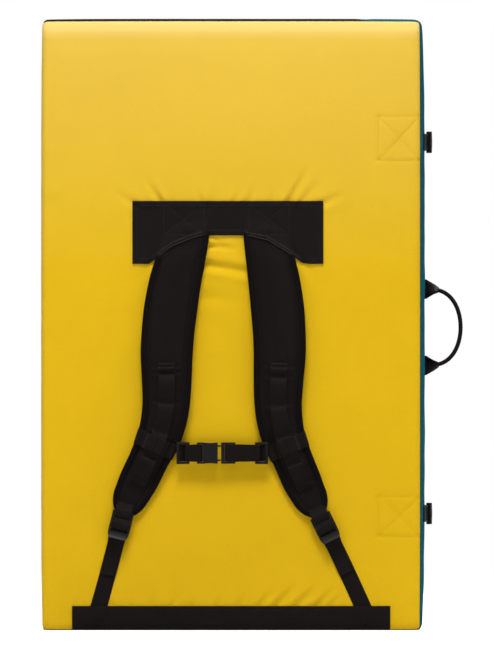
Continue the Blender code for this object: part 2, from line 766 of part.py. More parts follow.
def belt_sections(path, thickness):
    """Upper and lower edge of a strip that follows a path of (run, level) points."""
    upper = []
    lower = []
    for index, (run, level) in enumerate(path):
        before = path[max(index - 1, 0)]
        after = path[min(index + 1, len(path) - 1)]
        course = Vector((after[0] - before[0], after[1] - before[1]))
        course.normalize()
        upper.append((run - course.y * thickness / 2, level + course.x * thickness / 2))
        lower.append((run + course.y * thickness / 2, level - course.x * thickness / 2))
    return upper, lower


def belt(name, path, place, slot, body, width=WEBBING_WIDTH):
    """Webbing strip along a path of (run, level) points; place maps run, side and level."""
    upper, lower = belt_sections(path, WEBBING)
    points = []
    for (high_run, high), (low_run, low) in zip(upper, lower):
        points.append(place(high_run, -width / 2, high))
        points.append(place(high_run, width / 2, high))
        points.append(place(low_run, width / 2, low))
        points.append(place(low_run, -width / 2, low))
    add_solid(name, points, sweep_faces(len(path), 4), slot, body)


def turn_round(centre_run, centre_level, radius, start_deg, end_deg, steps=6):
    """Points of a strip's turn round a bar."""
    points = []
    for step in range(steps + 1):
        angle = math.radians(start_deg + (end_deg - start_deg) * step / steps)
        points.append((centre_run + radius * math.cos(angle), centre_level + radius * math.sin(angle)))
    return points


class LockPlace:
    """Place of one ladder lock: runs go down from its top bar towards the bottom band."""

    def __init__(self, side):
        left = side == "left"
        self.top = Vector((LEFT_LOCK_X, LEFT_LOCK_Z) if left else (RIGHT_LOCK_X, RIGHT_LOCK_Z))
        tilt = math.radians(LEFT_LOCK_TILT_DEG if left else RIGHT_LOCK_TILT_DEG)
        sign = SIDE_SIGNS[side]
        self.down = Vector((sign * math.sin(tilt), -math.cos(tilt)))
        self.anchor = Vector((LEFT_ANCHOR_X if left else RIGHT_ANCHOR_X, BAND_TOP))
        self.tail_z = LEFT_TAIL_Z if left else RIGHT_TAIL_Z
        self.length = (self.anchor - self.top).length

    def __call__(self, run, side, level):
        """Point for a run, a place across and a level over the straps' back."""
        course = self.top + self.down * run
        across = Vector((-self.down.y, self.down.x))
        pull = clamp((run - LOCK_LENGTH) / (self.length - LOCK_LENGTH), 0, 1) ** 2
        course += (self.anchor - self.top - self.down * self.length) * pull
        return lay(*(course + across * side), level)


LOCK_STATIONS = (
    LOCK_TOP_BAR, LOCK_LOOP_SLOT, LOCK_MID_BAR, LOCK_THREAD_SLOT, LOCK_GRIP_BAR, LOCK_THREAD_SLOT,
    LOCK_TONGUE / 3, LOCK_TONGUE / 3, LOCK_TONGUE / 3,
)
LOCK_LENGTH = sum(LOCK_STATIONS)


def make_ladder_lock(side, body):
    """Ladder lock with three slots and a lifted tongue, its loop and its webbing."""
    place = LockPlace(side)
    along = [sum(LOCK_STATIONS[:index]) for index in range(len(LOCK_STATIONS) + 1)]
    inner = LOCK_WIDTH / 2 - LOCK_RAIL
    across = (-LOCK_WIDTH / 2, -inner, -inner / 3, inner / 3, inner, LOCK_WIDTH / 2)
    over = (LOCK_LEVEL, LOCK_LEVEL + LOCK_BAR)
    slots = (1, 3, 5)
    tongue_start = along[6]

    def filled(i, j, k):
        return i not in slots or j in (0, len(across) - 2)

    def shape(run, side_place, level):
        beyond = max(0, run - tongue_start) / LOCK_TONGUE
        narrow = 1 - beyond ** 2 / 5
        return place(run, side_place * narrow, level + LOCK_TONGUE_RISE * beyond ** 2)

    points, faces = cell_solid(along, across, over, filled, shape)
    add_solid(f"{side}_ladder_lock", points, faces, "plastic_black", body, bevel=LOCK_BAR / 5)

    middle = LOCK_LEVEL + LOCK_BAR / 2
    bar_turn = LOCK_BAR / 2 + WEB_GAP + WEBBING / 2
    loop = [(-LOCK_LOOP_LENGTH, middle - bar_turn), (0, middle - bar_turn)]
    loop += turn_round(LOCK_TOP_BAR - WEB_GAP, middle, bar_turn, -90, 90)
    loop += [(0, middle + bar_turn), (-LOCK_LOOP_LENGTH * 4 / 5, middle + bar_turn)]
    belt(f"{side}_lock_loop", loop, place, "webbing_black", body)

    grip = along[4] - WEB_GAP
    low_level = middle - bar_turn
    rest_level = WEBBING / 2 + WEB_GAP - STRAP_BASE
    fall = LOCK_LENGTH * 1.5
    corner_drop = WEBBING_WIDTH / 2 * abs(place.down.x / place.down.y)
    band_run = place.length - corner_drop - LAYER_GAP * 2
    course = []
    for step in range(6):
        course.append((band_run - (band_run - fall) * step / 5, rest_level))
    step_up = WEBBING + WEB_GAP
    low_load = low_level - step_up - WEB_GAP / 2
    course.append(((fall + along[6]) / 2, (rest_level + low_load) / 2))
    course += [(along[6], low_load), (along[5] - WEB_GAP, low_load)]
    course += [(grip + WEBBING, low_level), (grip, low_level)]
    course += turn_round(grip, middle, bar_turn, 270, 90)[1:]
    course += turn_round(along[5] - 2 * WEB_GAP, middle, bar_turn, 90, -30, steps=4)
    course.append((along[6] + 3 * WEB_GAP, low_level - WEB_GAP / 4))
    course.append((along[6] + WEBBING * 3, low_level - WEB_GAP / 2))
    course.append(((fall + along[6]) / 2 + WEBBING, (rest_level + low_load) / 2 + step_up))
    tail_end = (place.top.y - place.tail_z) / abs(place.down.y)
    course += [(fall + WEBBING, rest_level + step_up), (tail_end, rest_level + step_up)]
    belt(f"{side}_adjuster_webbing", course, place, "webbing_black", "front_half")


def make_buckle(prefix, place, female_body, male_body):
    """Side release buckle: runs go from the socket's bar through its mouth to the plug."""
    half = BUCKLE_WIDTH / 2
    wall_start = BUCKLE_BAR + BUCKLE_SLOT
    cavity_start = wall_start + BUCKLE_BACK_WALL
    window = (cavity_start + BUCKLE_WINDOW_START, cavity_start + BUCKLE_WINDOW_START + BUCKLE_WINDOW)
    along = [0, BUCKLE_BAR, wall_start, cavity_start, window[0], (window[0] + window[1]) / 2,
             window[1], BUCKLE_LENGTH]
    inner = half - BUCKLE_SIDE_WALL
    across = (-half, -inner, -inner / 2, 0, inner / 2, inner, half)
    bar_low = (BUCKLE_THICK - BUCKLE_BAR_THICK) / 2
    over = (0, BUCKLE_PLATE, bar_low, BUCKLE_THICK - bar_low, BUCKLE_THICK - BUCKLE_PLATE, BUCKLE_THICK)

    def socket_filled(i, j, k):
        on_side = j in (0, len(across) - 2)
        if i == 0:
            return k == 2
        if i == 1:
            return k == 2 and on_side
        if k in (0, len(over) - 2) or i == 2:
            return True
        return on_side and i in (3, 6)

    def socket_shape(run, side, level):
        share = clamp((run - wall_start) / (BUCKLE_LENGTH - wall_start), 0, 1)
        waist = BUCKLE_WAIST * math.sin(math.pi * share) if run > wall_start else 0
        dome = (1 - (side / half) ** 2) * BUCKLE_PLATE / 2 * math.sin(math.pi * share)
        lift = dome if level > BUCKLE_THICK / 2 else -dome
        on_plate = level in (0, BUCKLE_THICK)
        narrow = (half - waist / 2) / half
        return place(run, side * narrow, level + (lift if on_plate else 0))

    points, faces = cell_solid(along, across, over, socket_filled, socket_shape)
    add_solid(f"{prefix}_female_buckle", points, faces, "plastic_black", female_body, bevel=BUCKLE_PLATE / 4)

    base = BUCKLE_LENGTH + BUCKLE_MOUTH_GAP
    male_along = [base, base + MALE_BASE]
    for length in (MALE_SLOT, MALE_BAR, MALE_END_SLOT, MALE_END_BAR):
        male_along.append(male_along[-1] + length)

    def plug_filled(i, j, k):
        if i == 0:
            return True
        return k == 2 and (i in (2, 4) or j in (0, len(across) - 2))

    points, faces = cell_solid(male_along, across, over, plug_filled, place)
    add_solid(f"{prefix}_male_buckle", points, faces, "plastic_black", male_body, bevel=BUCKLE_PLATE / 4)

    low = BUCKLE_PLATE + 2 * BUCKLE_RUN_GAP
    arm_over = (low, BUCKLE_THICK / 2, BUCKLE_THICK - low)
    arm_along = (window[0] + BUCKLE_RUN_GAP, (window[0] + window[1]) / 2,
                 window[1] - BUCKLE_RUN_GAP * 2, base - BUCKLE_RUN_GAP)
    arm_outer = inner - BUCKLE_WAIST / 2 - BUCKLE_RUN_GAP
    arm_inner = arm_outer - LATCH_ARM
    pad_outer = arm_outer + LATCH_PAD
    for label, sign in (("low", -1), ("high", 1)):
        arm_across = sorted((sign * arm_inner, sign * arm_outer, sign * pad_outer))
        pad_column = 1 if sign > 0 else 0

        def arm_filled(i, j, k, pad_column=pad_column):
            return j != pad_column or i < 2

        def arm_shape(run, side, level):
            taper = 1 - (window[1] - run) / BUCKLE_WINDOW / 8 if run < window[1] else 1
            return place(run, side * taper, level)

        points, faces = cell_solid(arm_along, arm_across, arm_over, arm_filled, arm_shape)
        add_solid(f"{prefix}_latch_arm_{label}", points, faces, "plastic_black", male_body)


def make_sternum_strap():
    """Sliders, webbing and buckle between the two shoulder straps."""
    middle = STERNUM_LEVEL + BUCKLE_THICK / 2
    turn = RING_THICK / 2 + WEB_GAP + WEBBING / 2
    bar_turn = BUCKLE_BAR_THICK / 2 + WEB_GAP + WEBBING / 2

    def place(run, side, level):
        return lay(run, STERNUM_Z + side, level)

    def buckle_place(run, side, level):
        return place(STERNUM_FEMALE_X + run, side, STERNUM_LEVEL + level)

    make_buckle("sternum", buckle_place, "left_strap", "sternum_plug")
    half = RING_WIDTH / 2
    across = (-half, -half + RING_BAR, half - RING_BAR, half)
    over = (middle - RING_THICK / 2, middle + RING_THICK / 2)
    rings = {
        "left": (STERNUM_LEFT_RING_X, STERNUM_LEFT_RING_X + RING_LENGTH),
        "right": (STERNUM_RIGHT_RING_X - RING_LENGTH, STERNUM_RIGHT_RING_X),
    }
    for side, (low, high) in rings.items():
        along = (low, low + RING_BAR, high - RING_BAR, high)
        points, faces = cell_solid(along, across, over, lambda i, j, k: (i, j) != (1, 1), place)
        add_solid(f"{side}_sternum_slider", points, faces, "plastic_black", f"{side}_strap",
                  bevel=RING_THICK / 6)
    low_level = middle - turn
    sink = turn + WEBBING
    left_bar = rings["left"][1] - RING_BAR + WEB_GAP
    left_far = STERNUM_FEMALE_X + BUCKLE_BAR - WEB_GAP
    left_end = rings["left"][0] + RING_BAR + 2 * WEB_GAP
    path = [(left_end, middle), (left_bar - sink, low_level), (left_bar, low_level)]
    path += turn_round(left_far, middle, bar_turn, -90, 90)
    path += turn_round(left_bar, middle, turn, 90, 150)
    belt("sternum_left_webbing", path, place, "webbing_black", "left_strap")
    right_bar = rings["right"][0] + RING_BAR - WEB_GAP
    right_near = STERNUM_MALE_X + MALE_BASE + MALE_SLOT + WEB_GAP
    right_end = rings["right"][1] - RING_BAR - 2 * WEB_GAP
    path = [(right_end, middle), (right_bar + sink, low_level), (right_bar, low_level)]
    path += turn_round(right_near, middle, bar_turn, 270, 90)
    path += turn_round(right_bar, middle, turn, 90, 30)
    belt("sternum_right_webbing", path, place, "webbing_black", "right_strap")


def side_skin(half, z, depth, offset):
    """Distance of the open gusset's surface from the pad's middle."""
    return skin_point(half, X_OPEN, z, depth, offset).x


def make_closure(label, height):
    """Buckle and webbing that hold the two halves shut at one height."""
    out = FACE_REACH + CLOSURE_LIFT + WEBBING
    middle = out + BUCKLE_THICK / 2

    def buckle_place(run, side, level):
        return Vector((out + level, CLOSURE_FEMALE_Y + run, height + side))

    make_buckle(f"{label}_closure", buckle_place, "front_half", "rear_half")
    bar_turn = BUCKLE_BAR_THICK / 2 + WEB_GAP + WEBBING / 2
    plug_end = CLOSURE_FEMALE_Y + BUCKLE_LENGTH + BUCKLE_MOUTH_GAP + MALE_LENGTH
    ends = {
        "front": (CLOSURE_FEMALE_Y + BUCKLE_BAR / 2, -1),
        "rear": (plug_end - MALE_END_BAR / 2, 1),
    }
    for half, (bar_y, sign) in ends.items():
        start = sign * (HALF_DEPTH - CLOSURE_END_INSET)
        bend = bar_y + sign * (WEB_GAP + BUCKLE_THICK / 2)
        course = []
        for step in range(7):
            y = start + (bend - start) * step / 6
            depth = abs(y) - MID_GAP
            skin = side_skin(half, height, depth, WEB_GAP + WEBBING / 2)
            reach = skin + (middle - bar_turn - skin) * (step / 6) ** 2
            course.append((sign * y, reach))
        bar_run = sign * bar_y
        course += turn_round(bar_run - WEB_GAP, middle, bar_turn, -90, -270)
        course.append((bend * sign + BUCKLE_THICK, middle + bar_turn * 0.9))

        def place(run, side, level, sign=sign):
            return Vector((level, sign * run, height + side))

        body = "front_half" if half == "front" else "rear_half"
        belt(f"{label}_closure_{half}_webbing", course, place, "webbing_black", body)


def make_handle():
    """Webbing carry handle: two sewn tabs and the loop that swings on them."""
    pivot_x = FACE_REACH + HANDLE_PIVOT_OUT
    half_root = HANDLE_WIDTH / 2
    rows = 4
    for label, height in (("low", HANDLE_LOW_Z), ("high", HANDLE_HIGH_Z)):
        skin = side_skin("front", height, -HANDLE_Y - MID_GAP, WEB_GAP)
        points = []
        for row in range(rows):
            x = skin + WEB_GAP + (pivot_x - WEB_GAP * 2 - skin) * row / (rows - 1)
            for dy, dz in ((-1, -1), (1, -1), (1, 1), (-1, 1)):
                points.append((x, HANDLE_Y + dy * HANDLE_ROOT_THICK / 2, height + dz * half_root))
        add_solid(f"handle_tab_{label}", points, sweep_faces(rows, 4), "webbing_black", "front_half")

    middle = (HANDLE_LOW_Z + HANDLE_HIGH_Z) / 2
    rise = (HANDLE_HIGH_Z - HANDLE_LOW_Z) / 2
    reach = FACE_REACH + HANDLE_REACH - pivot_x
    steps = 32
    shares = [0, HANDLE_KNUCKLE_SHARE] + [step / steps for step in range(1, steps)]
    shares += [1 - HANDLE_KNUCKLE_SHARE, 1]
    course = []
    for share in shares:
        turn = math.pi * (share - 1 / 2)
        bow = max(0, math.cos(turn))
        out = 0 if share in (0, 1) else reach * bow ** HANDLE_BOW_POWER
        course.append(Vector((pivot_x + out, 0, middle + rise * math.sin(turn))))
    last = len(course) - 1
    points = []
    for index, (place, share) in enumerate(zip(course, shares)):
        run = course[min(index + 1, last)] - course[max(index - 1, 0)]
        run.normalize()
        if index in (0, last):
            run = Vector((1 if index == 0 else -1, 0, 0))
        from_root = min(share, 1 - share) - HANDLE_KNUCKLE_SHARE
        twist = math.pi / 2 * clamp(from_root * HANDLE_TWIST_RATE, 0, 1)
        flat = Vector((run.z, 0, -run.x))
        wide = flat * math.cos(twist) + Vector((0, 1, 0)) * math.sin(twist)
        thick = run.cross(wide)
        width = HANDLE_WIDTH / 2
        depth = (HANDLE_ROOT_THICK + (HANDLE_THICK - HANDLE_ROOT_THICK) * math.sin(twist)) / 2
        if index in (0, last):
            depth = HANDLE_KNUCKLE / 2
        for across, over in ((-1, -1), (1, -1), (1, 1), (-1, 1)):
            spot = place + wide * width * across + thick * depth * over
            points.append((spot.x, spot.y + HANDLE_Y, spot.z))
    add_solid("side_handle", points, sweep_faces(len(course), 4), "webbing_black", "handle")


def centre_on_box():
    """Put the frame's origin at the bottom centre of everything at rest."""
    corners = []
    for solid in bpy.data.objects:
        if solid.type == "MESH":
            place = AXES[solid.parent.name]
            corners += [vertex.co + place for vertex in solid.data.vertices]
    low = [min(corner[axis] for corner in corners) for axis in range(3)]
    high = [max(corner[axis] for corner in corners) for axis in range(3)]
    middle = Vector(((low[0] + high[0]) / 2, (low[1] + high[1]) / 2, low[2]))
    BODIES["front_half"].location = -middle


STRAP_PIVOT = Vector((0, -(MID_GAP + HALF_DEPTH + FACE_CROWN + WEB_GAP + YOKE_THICK), STRAP_TOP_Z))
AXES = {
    "front_half": Vector((0, 0, 0)),
    "rear_half": Vector((FOLD_X, 0, 0)),
    "handle": Vector((FACE_REACH + HANDLE_PIVOT_OUT, HANDLE_Y, HANDLE_LOW_Z)),
    "left_strap": STRAP_PIVOT,
    "right_strap": STRAP_PIVOT,
    "sternum_plug": Vector((STERNUM_MALE_X, STRAP_PIVOT.y, STERNUM_Z)),
}
PARENTS = {"sternum_plug": "right_strap"}

clear_scene()
BODIES = {"front_half": add_empty("front_half", AXES["front_half"])}
for body_name, axis_place in AXES.items():
    if body_name in BODIES:
        continue
    holder = PARENTS.get(body_name, "front_half")
    BODIES[body_name] = add_empty(body_name, axis_place - AXES[holder], BODIES[holder])
for half_name in HALF_SIGNS:
    make_half(half_name)
make_hinge_strip()
make_patches()
for side_name in SIDE_SIGNS:
    strap_plan = Strap(side_name)
    strap_body = f"{side_name}_strap"
    make_strap_layers(strap_plan, strap_body)
    make_binding(strap_plan, strap_body)
    make_daisy_chain(strap_plan, strap_body)
    make_sternum_band(strap_plan, strap_body)
    make_ladder_lock(side_name, strap_body)
make_sternum_strap()
for closure_name, closure_height in CLOSURE_HEIGHTS.items():
    make_closure(closure_name, closure_height)
make_handle()
centre_on_box()
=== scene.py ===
"""Dressed model of the folding bouldering crash pad, standing folded on its short edge."""

import json
import math
from contextlib import contextmanager

import bmesh
import bpy
import numpy as np
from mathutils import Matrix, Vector, noise
from mathutils.bvhtree import BVHTree


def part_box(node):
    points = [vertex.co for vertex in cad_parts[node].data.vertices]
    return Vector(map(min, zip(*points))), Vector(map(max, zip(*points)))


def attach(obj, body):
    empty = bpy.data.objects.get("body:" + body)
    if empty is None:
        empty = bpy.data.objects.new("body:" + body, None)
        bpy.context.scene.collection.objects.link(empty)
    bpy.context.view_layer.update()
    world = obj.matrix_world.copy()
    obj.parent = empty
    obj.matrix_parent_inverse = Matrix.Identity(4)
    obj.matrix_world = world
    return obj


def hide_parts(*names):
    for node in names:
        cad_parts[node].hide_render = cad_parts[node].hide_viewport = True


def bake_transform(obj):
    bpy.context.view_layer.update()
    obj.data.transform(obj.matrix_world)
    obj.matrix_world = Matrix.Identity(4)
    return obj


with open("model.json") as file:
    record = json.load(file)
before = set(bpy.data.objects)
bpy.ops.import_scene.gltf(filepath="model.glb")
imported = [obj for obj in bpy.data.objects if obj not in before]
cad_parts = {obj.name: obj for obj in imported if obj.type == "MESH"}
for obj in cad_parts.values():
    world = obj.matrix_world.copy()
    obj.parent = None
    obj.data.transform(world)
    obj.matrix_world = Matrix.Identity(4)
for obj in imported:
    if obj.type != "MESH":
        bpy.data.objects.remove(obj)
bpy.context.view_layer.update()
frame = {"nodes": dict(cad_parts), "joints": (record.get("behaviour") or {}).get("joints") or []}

# Sizes shared with the part, in metres, from the middle of the fold plane
PAD_HEIGHT = 1.0
FACE_REACH = 0.3147
HALF_DEPTH = 0.0934
FACE_CROWN = 0.006
OPEN_BULGE = 0.005
SPINE_BULGE = 0.0025
TOP_BULGE = 0.003
OPEN_EDGE_ROUND = 0.015
SPINE_EDGE_ROUND = 0.009
END_EDGE_ROUND = 0.014
OUTER_EDGE_ROUND = 0.018
LANDING_EDGE_ROUND = 0.010
MID_GAP = 0.0006
WEBBING_WIDTH = 0.027
WEBBING = 0.0016
WEB_GAP = 0.0004
X_OPEN = FACE_REACH - OPEN_BULGE
X_SPINE = -(FACE_REACH - SPINE_BULGE)
X_MID = (X_OPEN + X_SPINE) / 2
X_HALF = (X_OPEN - X_SPINE) / 2
FOLD_X = -0.3177
FOLD = next(joint for joint in frame["joints"] if joint["name"] == "fold")
ORIGIN = Vector((FOLD["pos_m"][0] - FOLD_X, FOLD["pos_m"][1], 0))
SHIFT = np.array(ORIGIN)

# Scale of the photograph, and the pixels that the pad's middle and foot are on
PIXEL = 0.001639
PHOTO_MIDDLE_X = 233.5
PHOTO_FOOT_Y = 630.5
PHOTO_SIZE = (494, 650)


def at_pixel(px, py):
    """Place on the front face, as x and z, of a pixel of the photograph."""
    return (px - PHOTO_MIDDLE_X) * PIXEL, (PHOTO_FOOT_Y - py) * PIXEL


# Meshes
def smoothstep(value):
    """Soft step from 0 to 1."""
    value = np.clip(value, 0, 1)
    return value * value * (3 - 2 * value)


def unit(rows):
    """Vectors scaled to length 1, one or a row each."""
    return rows / np.maximum(np.linalg.norm(rows, axis=-1, keepdims=True), 1e-9)


def run_along(places):
    """Length of the line through places, from the first to each of them."""
    return np.concatenate([[0], np.cumsum(np.linalg.norm(np.diff(places, axis=0), axis=1))])


def clamp(value, low=0.0, high=1.0):
    """A number kept between two limits."""
    return min(max(value, low), high)


@contextmanager
def editing(mesh):
    """A mesh open for editing as bmesh, written back at the end."""
    work = bmesh.new()
    work.from_mesh(mesh)
    yield work
    work.to_mesh(mesh)
    work.free()


def make_mesh(name, points, faces, material, uvs=None, loop_uvs=None, smooth=True):
    """Mesh object from local points; uvs are metres, one a point or one a face corner."""
    co = np.asarray([tuple(p) for p in points], float) + SHIFT
    mesh = bpy.data.meshes.new(name)
    mesh.from_pydata(co.tolist(), [], [tuple(f) for f in faces])
    if uvs is not None or loop_uvs is not None:
        layer = mesh.uv_layers.new(name="UVMap")
        if loop_uvs is None:
            index = np.zeros(len(mesh.loops), np.int32)
            mesh.loops.foreach_get("vertex_index", index)
            loop_uvs = np.asarray(uvs, float)[index]
        layer.data.foreach_set("uv", np.asarray(loop_uvs, np.float32).ravel())
    mesh.update()
    made = bpy.data.objects.new(name, mesh)
    bpy.context.scene.collection.objects.link(made)
    mesh.materials.append(material)
    if smooth:
        mesh.polygons.foreach_set("use_smooth", np.ones(len(mesh.polygons), bool))
    return made


def outward(made):
    """Turn a closed mesh's faces outward."""
    with editing(made.data) as work:
        bmesh.ops.recalc_face_normals(work, faces=work.faces)
    return made


def subdivide(made, levels):
    """Apply rounds of smooth subdivision."""
    modifier = made.modifiers.new("subdivide", "SUBSURF")
    modifier.levels = levels
    modifier.render_levels = levels
    modifier.uv_smooth = "PRESERVE_BOUNDARIES"
    graph = bpy.context.evaluated_depsgraph_get()
    mesh = bpy.data.meshes.new_from_object(made.evaluated_get(graph))
    old = made.data
    made.modifiers.clear()
    made.data = mesh
    mesh.name = old.name
    bpy.data.meshes.remove(old)


def coordinates(mesh):
    """Vertex coordinates of a mesh, in local measures."""
    co = np.zeros(len(mesh.vertices) * 3)
    mesh.vertices.foreach_get("co", co)
    return co.reshape(-1, 3) - SHIFT


def move_to(made, co):
    """Give a mesh object new local coordinates."""
    made.data.vertices.foreach_set("co", (co + SHIFT).ravel())
    made.data.update()


def tube_faces(first, rings, corners):
    """Faces of a closed tube whose rings of points follow each other from a first number."""
    faces = []
    for near in range(first, first + (rings - 1) * corners, corners):
        far = near + corners
        for corner in range(corners):
            following = (corner + 1) % corners
            faces.append((near + corner, near + following, far + following, far + corner))
    last = first + (rings - 1) * corners
    return faces + [tuple(range(first, first + corners)), tuple(range(last, last + corners))]


def ring_points(centre, side, up, radius, corners):
    """Points of one ring of a round tube."""
    turns = [2 * math.pi * corner / corners for corner in range(corners)]
    return [centre + (side * math.cos(turn) + up * math.sin(turn)) * radius for turn in turns]


def grown(share, power):
    """A share raised to a power, its sign kept."""
    return math.copysign(abs(share) ** power, share)


# Closed profiles of strips: places across and levels, both -1 to 1
LENS_EDGE = [(1.0, 0.0), (0.985, 0.6), (0.93, 0.95)]
LENS_TOP = [(-across, level) for across, level in LENS_EDGE]
LENS_TOP += [(across, 1.0) for across in np.linspace(-0.8, 0.8, 6)] + LENS_EDGE[::-1]
LENS_SECTION = LENS_TOP + [(across, -level) for across, level in LENS_TOP[-2:0:-1]]
ROUND_SECTION = [(grown(math.cos(turn), 0.35), grown(math.sin(turn), 0.8))
                 for turn in np.linspace(0, 2 * math.pi, 28, endpoint=False)]


def ribbon(name, frames, width, thick, material, slot, section=LENS_SECTION, widths=None, thicks=None):
    """Closed strip that follows frames of place, side and up; uv is across and along, in metres."""
    points, uvs = [], []
    run = 0.0
    for index, (place, side, up) in enumerate(frames):
        if index:
            run += (place - frames[index - 1][0]).length
        half = (widths[index] if widths else width) / 2
        deep = (thicks[index] if thicks else thick) / 2
        for across, level in section:
            points.append(place + side * across * half + up * level * deep)
            uvs.append((across * half, run))
    faces = tube_faces(0, len(frames), len(section))
    return outward(make_mesh(name, points, faces, material, uvs=uvs))


def smooth_path(points, step):
    """Even points on a smooth curve through points of any number of measures."""
    raw = [np.array(tuple(p), float) for p in points]
    fine = []
    for index in range(len(raw) - 1):
        before = raw[max(index - 1, 0)]
        near, far = raw[index], raw[index + 1]
        after = raw[min(index + 2, len(raw) - 1)]
        for part in range(8):
            t = part / 8
            fine.append(0.5 * (2 * near + (far - before) * t
                               + (2 * before - 5 * near + 4 * far - after) * t ** 2
                               + (3 * near - before - 3 * far + after) * t ** 3))
    fine = np.array(fine + [raw[-1]])
    run = run_along(fine)
    wanted = np.linspace(0, run[-1], max(2, int(round(run[-1] / step)) + 1))
    return np.stack([np.interp(wanted, run, fine[:, k]) for k in range(fine.shape[1])], axis=1)


def path_frames(path, place, step):
    """Frames of a strip whose path is (run, level) pairs; place maps run, side and level."""
    even = smooth_path(path, step)
    centres = [place(run, 0.0, level) for run, level in even]
    frames = []
    for index, (run, level) in enumerate(even):
        side = (place(run, 0.001, level) - place(run, -0.001, level)).normalized()
        course = centres[min(index + 1, len(even) - 1)] - centres[max(index - 1, 0)]
        frames.append((centres[index], side, side.cross(course.normalized()).normalized()))
    return frames


# A stitch's rings: share of its length, then radius and height over the cloth in thread radii
STITCH_RINGS = ((0.0, 0.35, -0.9), (0.18, 0.9, 0.2), (0.5, 1.0, 0.45), (0.82, 0.9, 0.2), (1.0, 0.35, -0.9))
STITCH_SIDES = 5
STITCH_PROBE = 1e-4


def stitches(name, rows, material, body, pitch=0.0034, thread=0.00045, gap=0.25, hold=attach):
    """Raised stitches along rows of (point, normal) samples, in one mesh that hold ties to a body."""
    points, faces = [], []
    for row in rows:
        places, normals = (np.array([tuple(sample[k]) for sample in row], float) for k in (0, 1))
        run = run_along(places)
        if run[-1] < pitch / 2:
            continue

        def at(here, values, run=run):
            return np.array([np.interp(here, run, values[:, k]) for k in range(3)])

        count = max(1, int(round(run[-1] / pitch)))
        for index in range(count):
            faces += tube_faces(len(points), len(STITCH_RINGS), STITCH_SIDES)
            for cut, size, height in STITCH_RINGS:
                here = run[-1] / count * (index + gap / 2 + (1 - gap) * cut)
                up = unit(at(here, normals))
                ahead = at(min(here + STITCH_PROBE, run[-1]), places)
                along = unit(ahead - at(max(here - STITCH_PROBE, 0), places))
                centre = at(here, places) + up * thread * height
                points += ring_points(centre, np.cross(up, along), up, thread * size, STITCH_SIDES)
    made = outward(make_mesh(name, points, faces, material))
    hold(made, body)
    return made


# Materials
class Nodes:
    """Small helper that builds a node tree."""

    def __init__(self, tree):
        self.tree = tree

    def add(self, kind, inputs=None, **settings):
        made = self.tree.nodes.new(kind)
        for key, value in settings.items():
            setattr(made, key, value)
        for key, value in (inputs or {}).items():
            if isinstance(value, bpy.types.NodeSocket):
                self.tree.links.new(value, made.inputs[key])
            else:
                made.inputs[key].default_value = value
        return made

    def math(self, operation, first, second=0.0, third=0.5):
        return self.add("ShaderNodeMath", {0: first, 1: second, 2: third}, operation=operation).outputs[0]

    def ramp(self, value, low, high, from_low=0.0, from_high=1.0):
        ends = {1: from_low, 2: from_high, 3: low, 4: high}
        return self.add("ShaderNodeMapRange", {0: value, **ends}).outputs[0]

    def noise(self, vector, scale, detail=2.0, roughness=0.5):
        return self.add("ShaderNodeTexNoise", {"Vector": vector, "Scale": scale, "Detail": detail,
                                               "Roughness": roughness}).outputs["Fac"]

    def place(self, kind="Object"):
        return self.add("ShaderNodeTexCoord").outputs[kind]

    def split(self, vector):
        return self.add("ShaderNodeSeparateXYZ", {0: vector}).outputs

    def sine(self, value, period):
        return self.math("SINE", self.math("MULTIPLY", value, math.pi / period))

    def wave(self, value, period):
        return self.math("ABSOLUTE", self.sine(value, period))

    def grey(self, light):
        return self.add("ShaderNodeCombineColor", {0: light, 1: light, 2: light}).outputs[0]

    def mix(self, share, first, colour, blend="MIX"):
        return self.add("ShaderNodeMix", {0: share, 6: first, 7: (*colour, 1.0)}, data_type="RGBA",
                        blend_type=blend).outputs[2]

    def tinted(self, light, colour):
        return self.mix(1.0, self.grey(light), colour, "MULTIPLY")


class Graph(Nodes):
    """A material and its shader."""

    def __init__(self, name, **shader):
        self.material = bpy.data.materials.new(name)
        self.material.use_nodes = True
        super().__init__(self.material.node_tree)
        self.shader = self.tree.nodes["Principled BSDF"]
        for key, value in shader.items():
            self.shader.inputs[key.replace("_", " ")].default_value = value

    def link(self, value, key):
        self.tree.links.new(value, self.shader.inputs[key])

    def finish(self, colour, roughness, height, strength, distance):
        self.link(colour, "Base Color")
        if roughness is not None:
            self.link(roughness, "Roughness")
        bump = self.add("ShaderNodeBump", {"Strength": strength, "Distance": distance, "Height": height})
        self.link(bump.outputs[0], "Normal")
        return self.material


SHEEN_ROUGHNESS = 0.38
# Painted highlight towards the pad's top edge, where the top roll catches the overhead light: start and end
# below it, in metres, and share
PAINTED_TOP_HIGHLIGHT = ((0.42, 0.03, 0.16), (0.032, 0.012, 0.34))


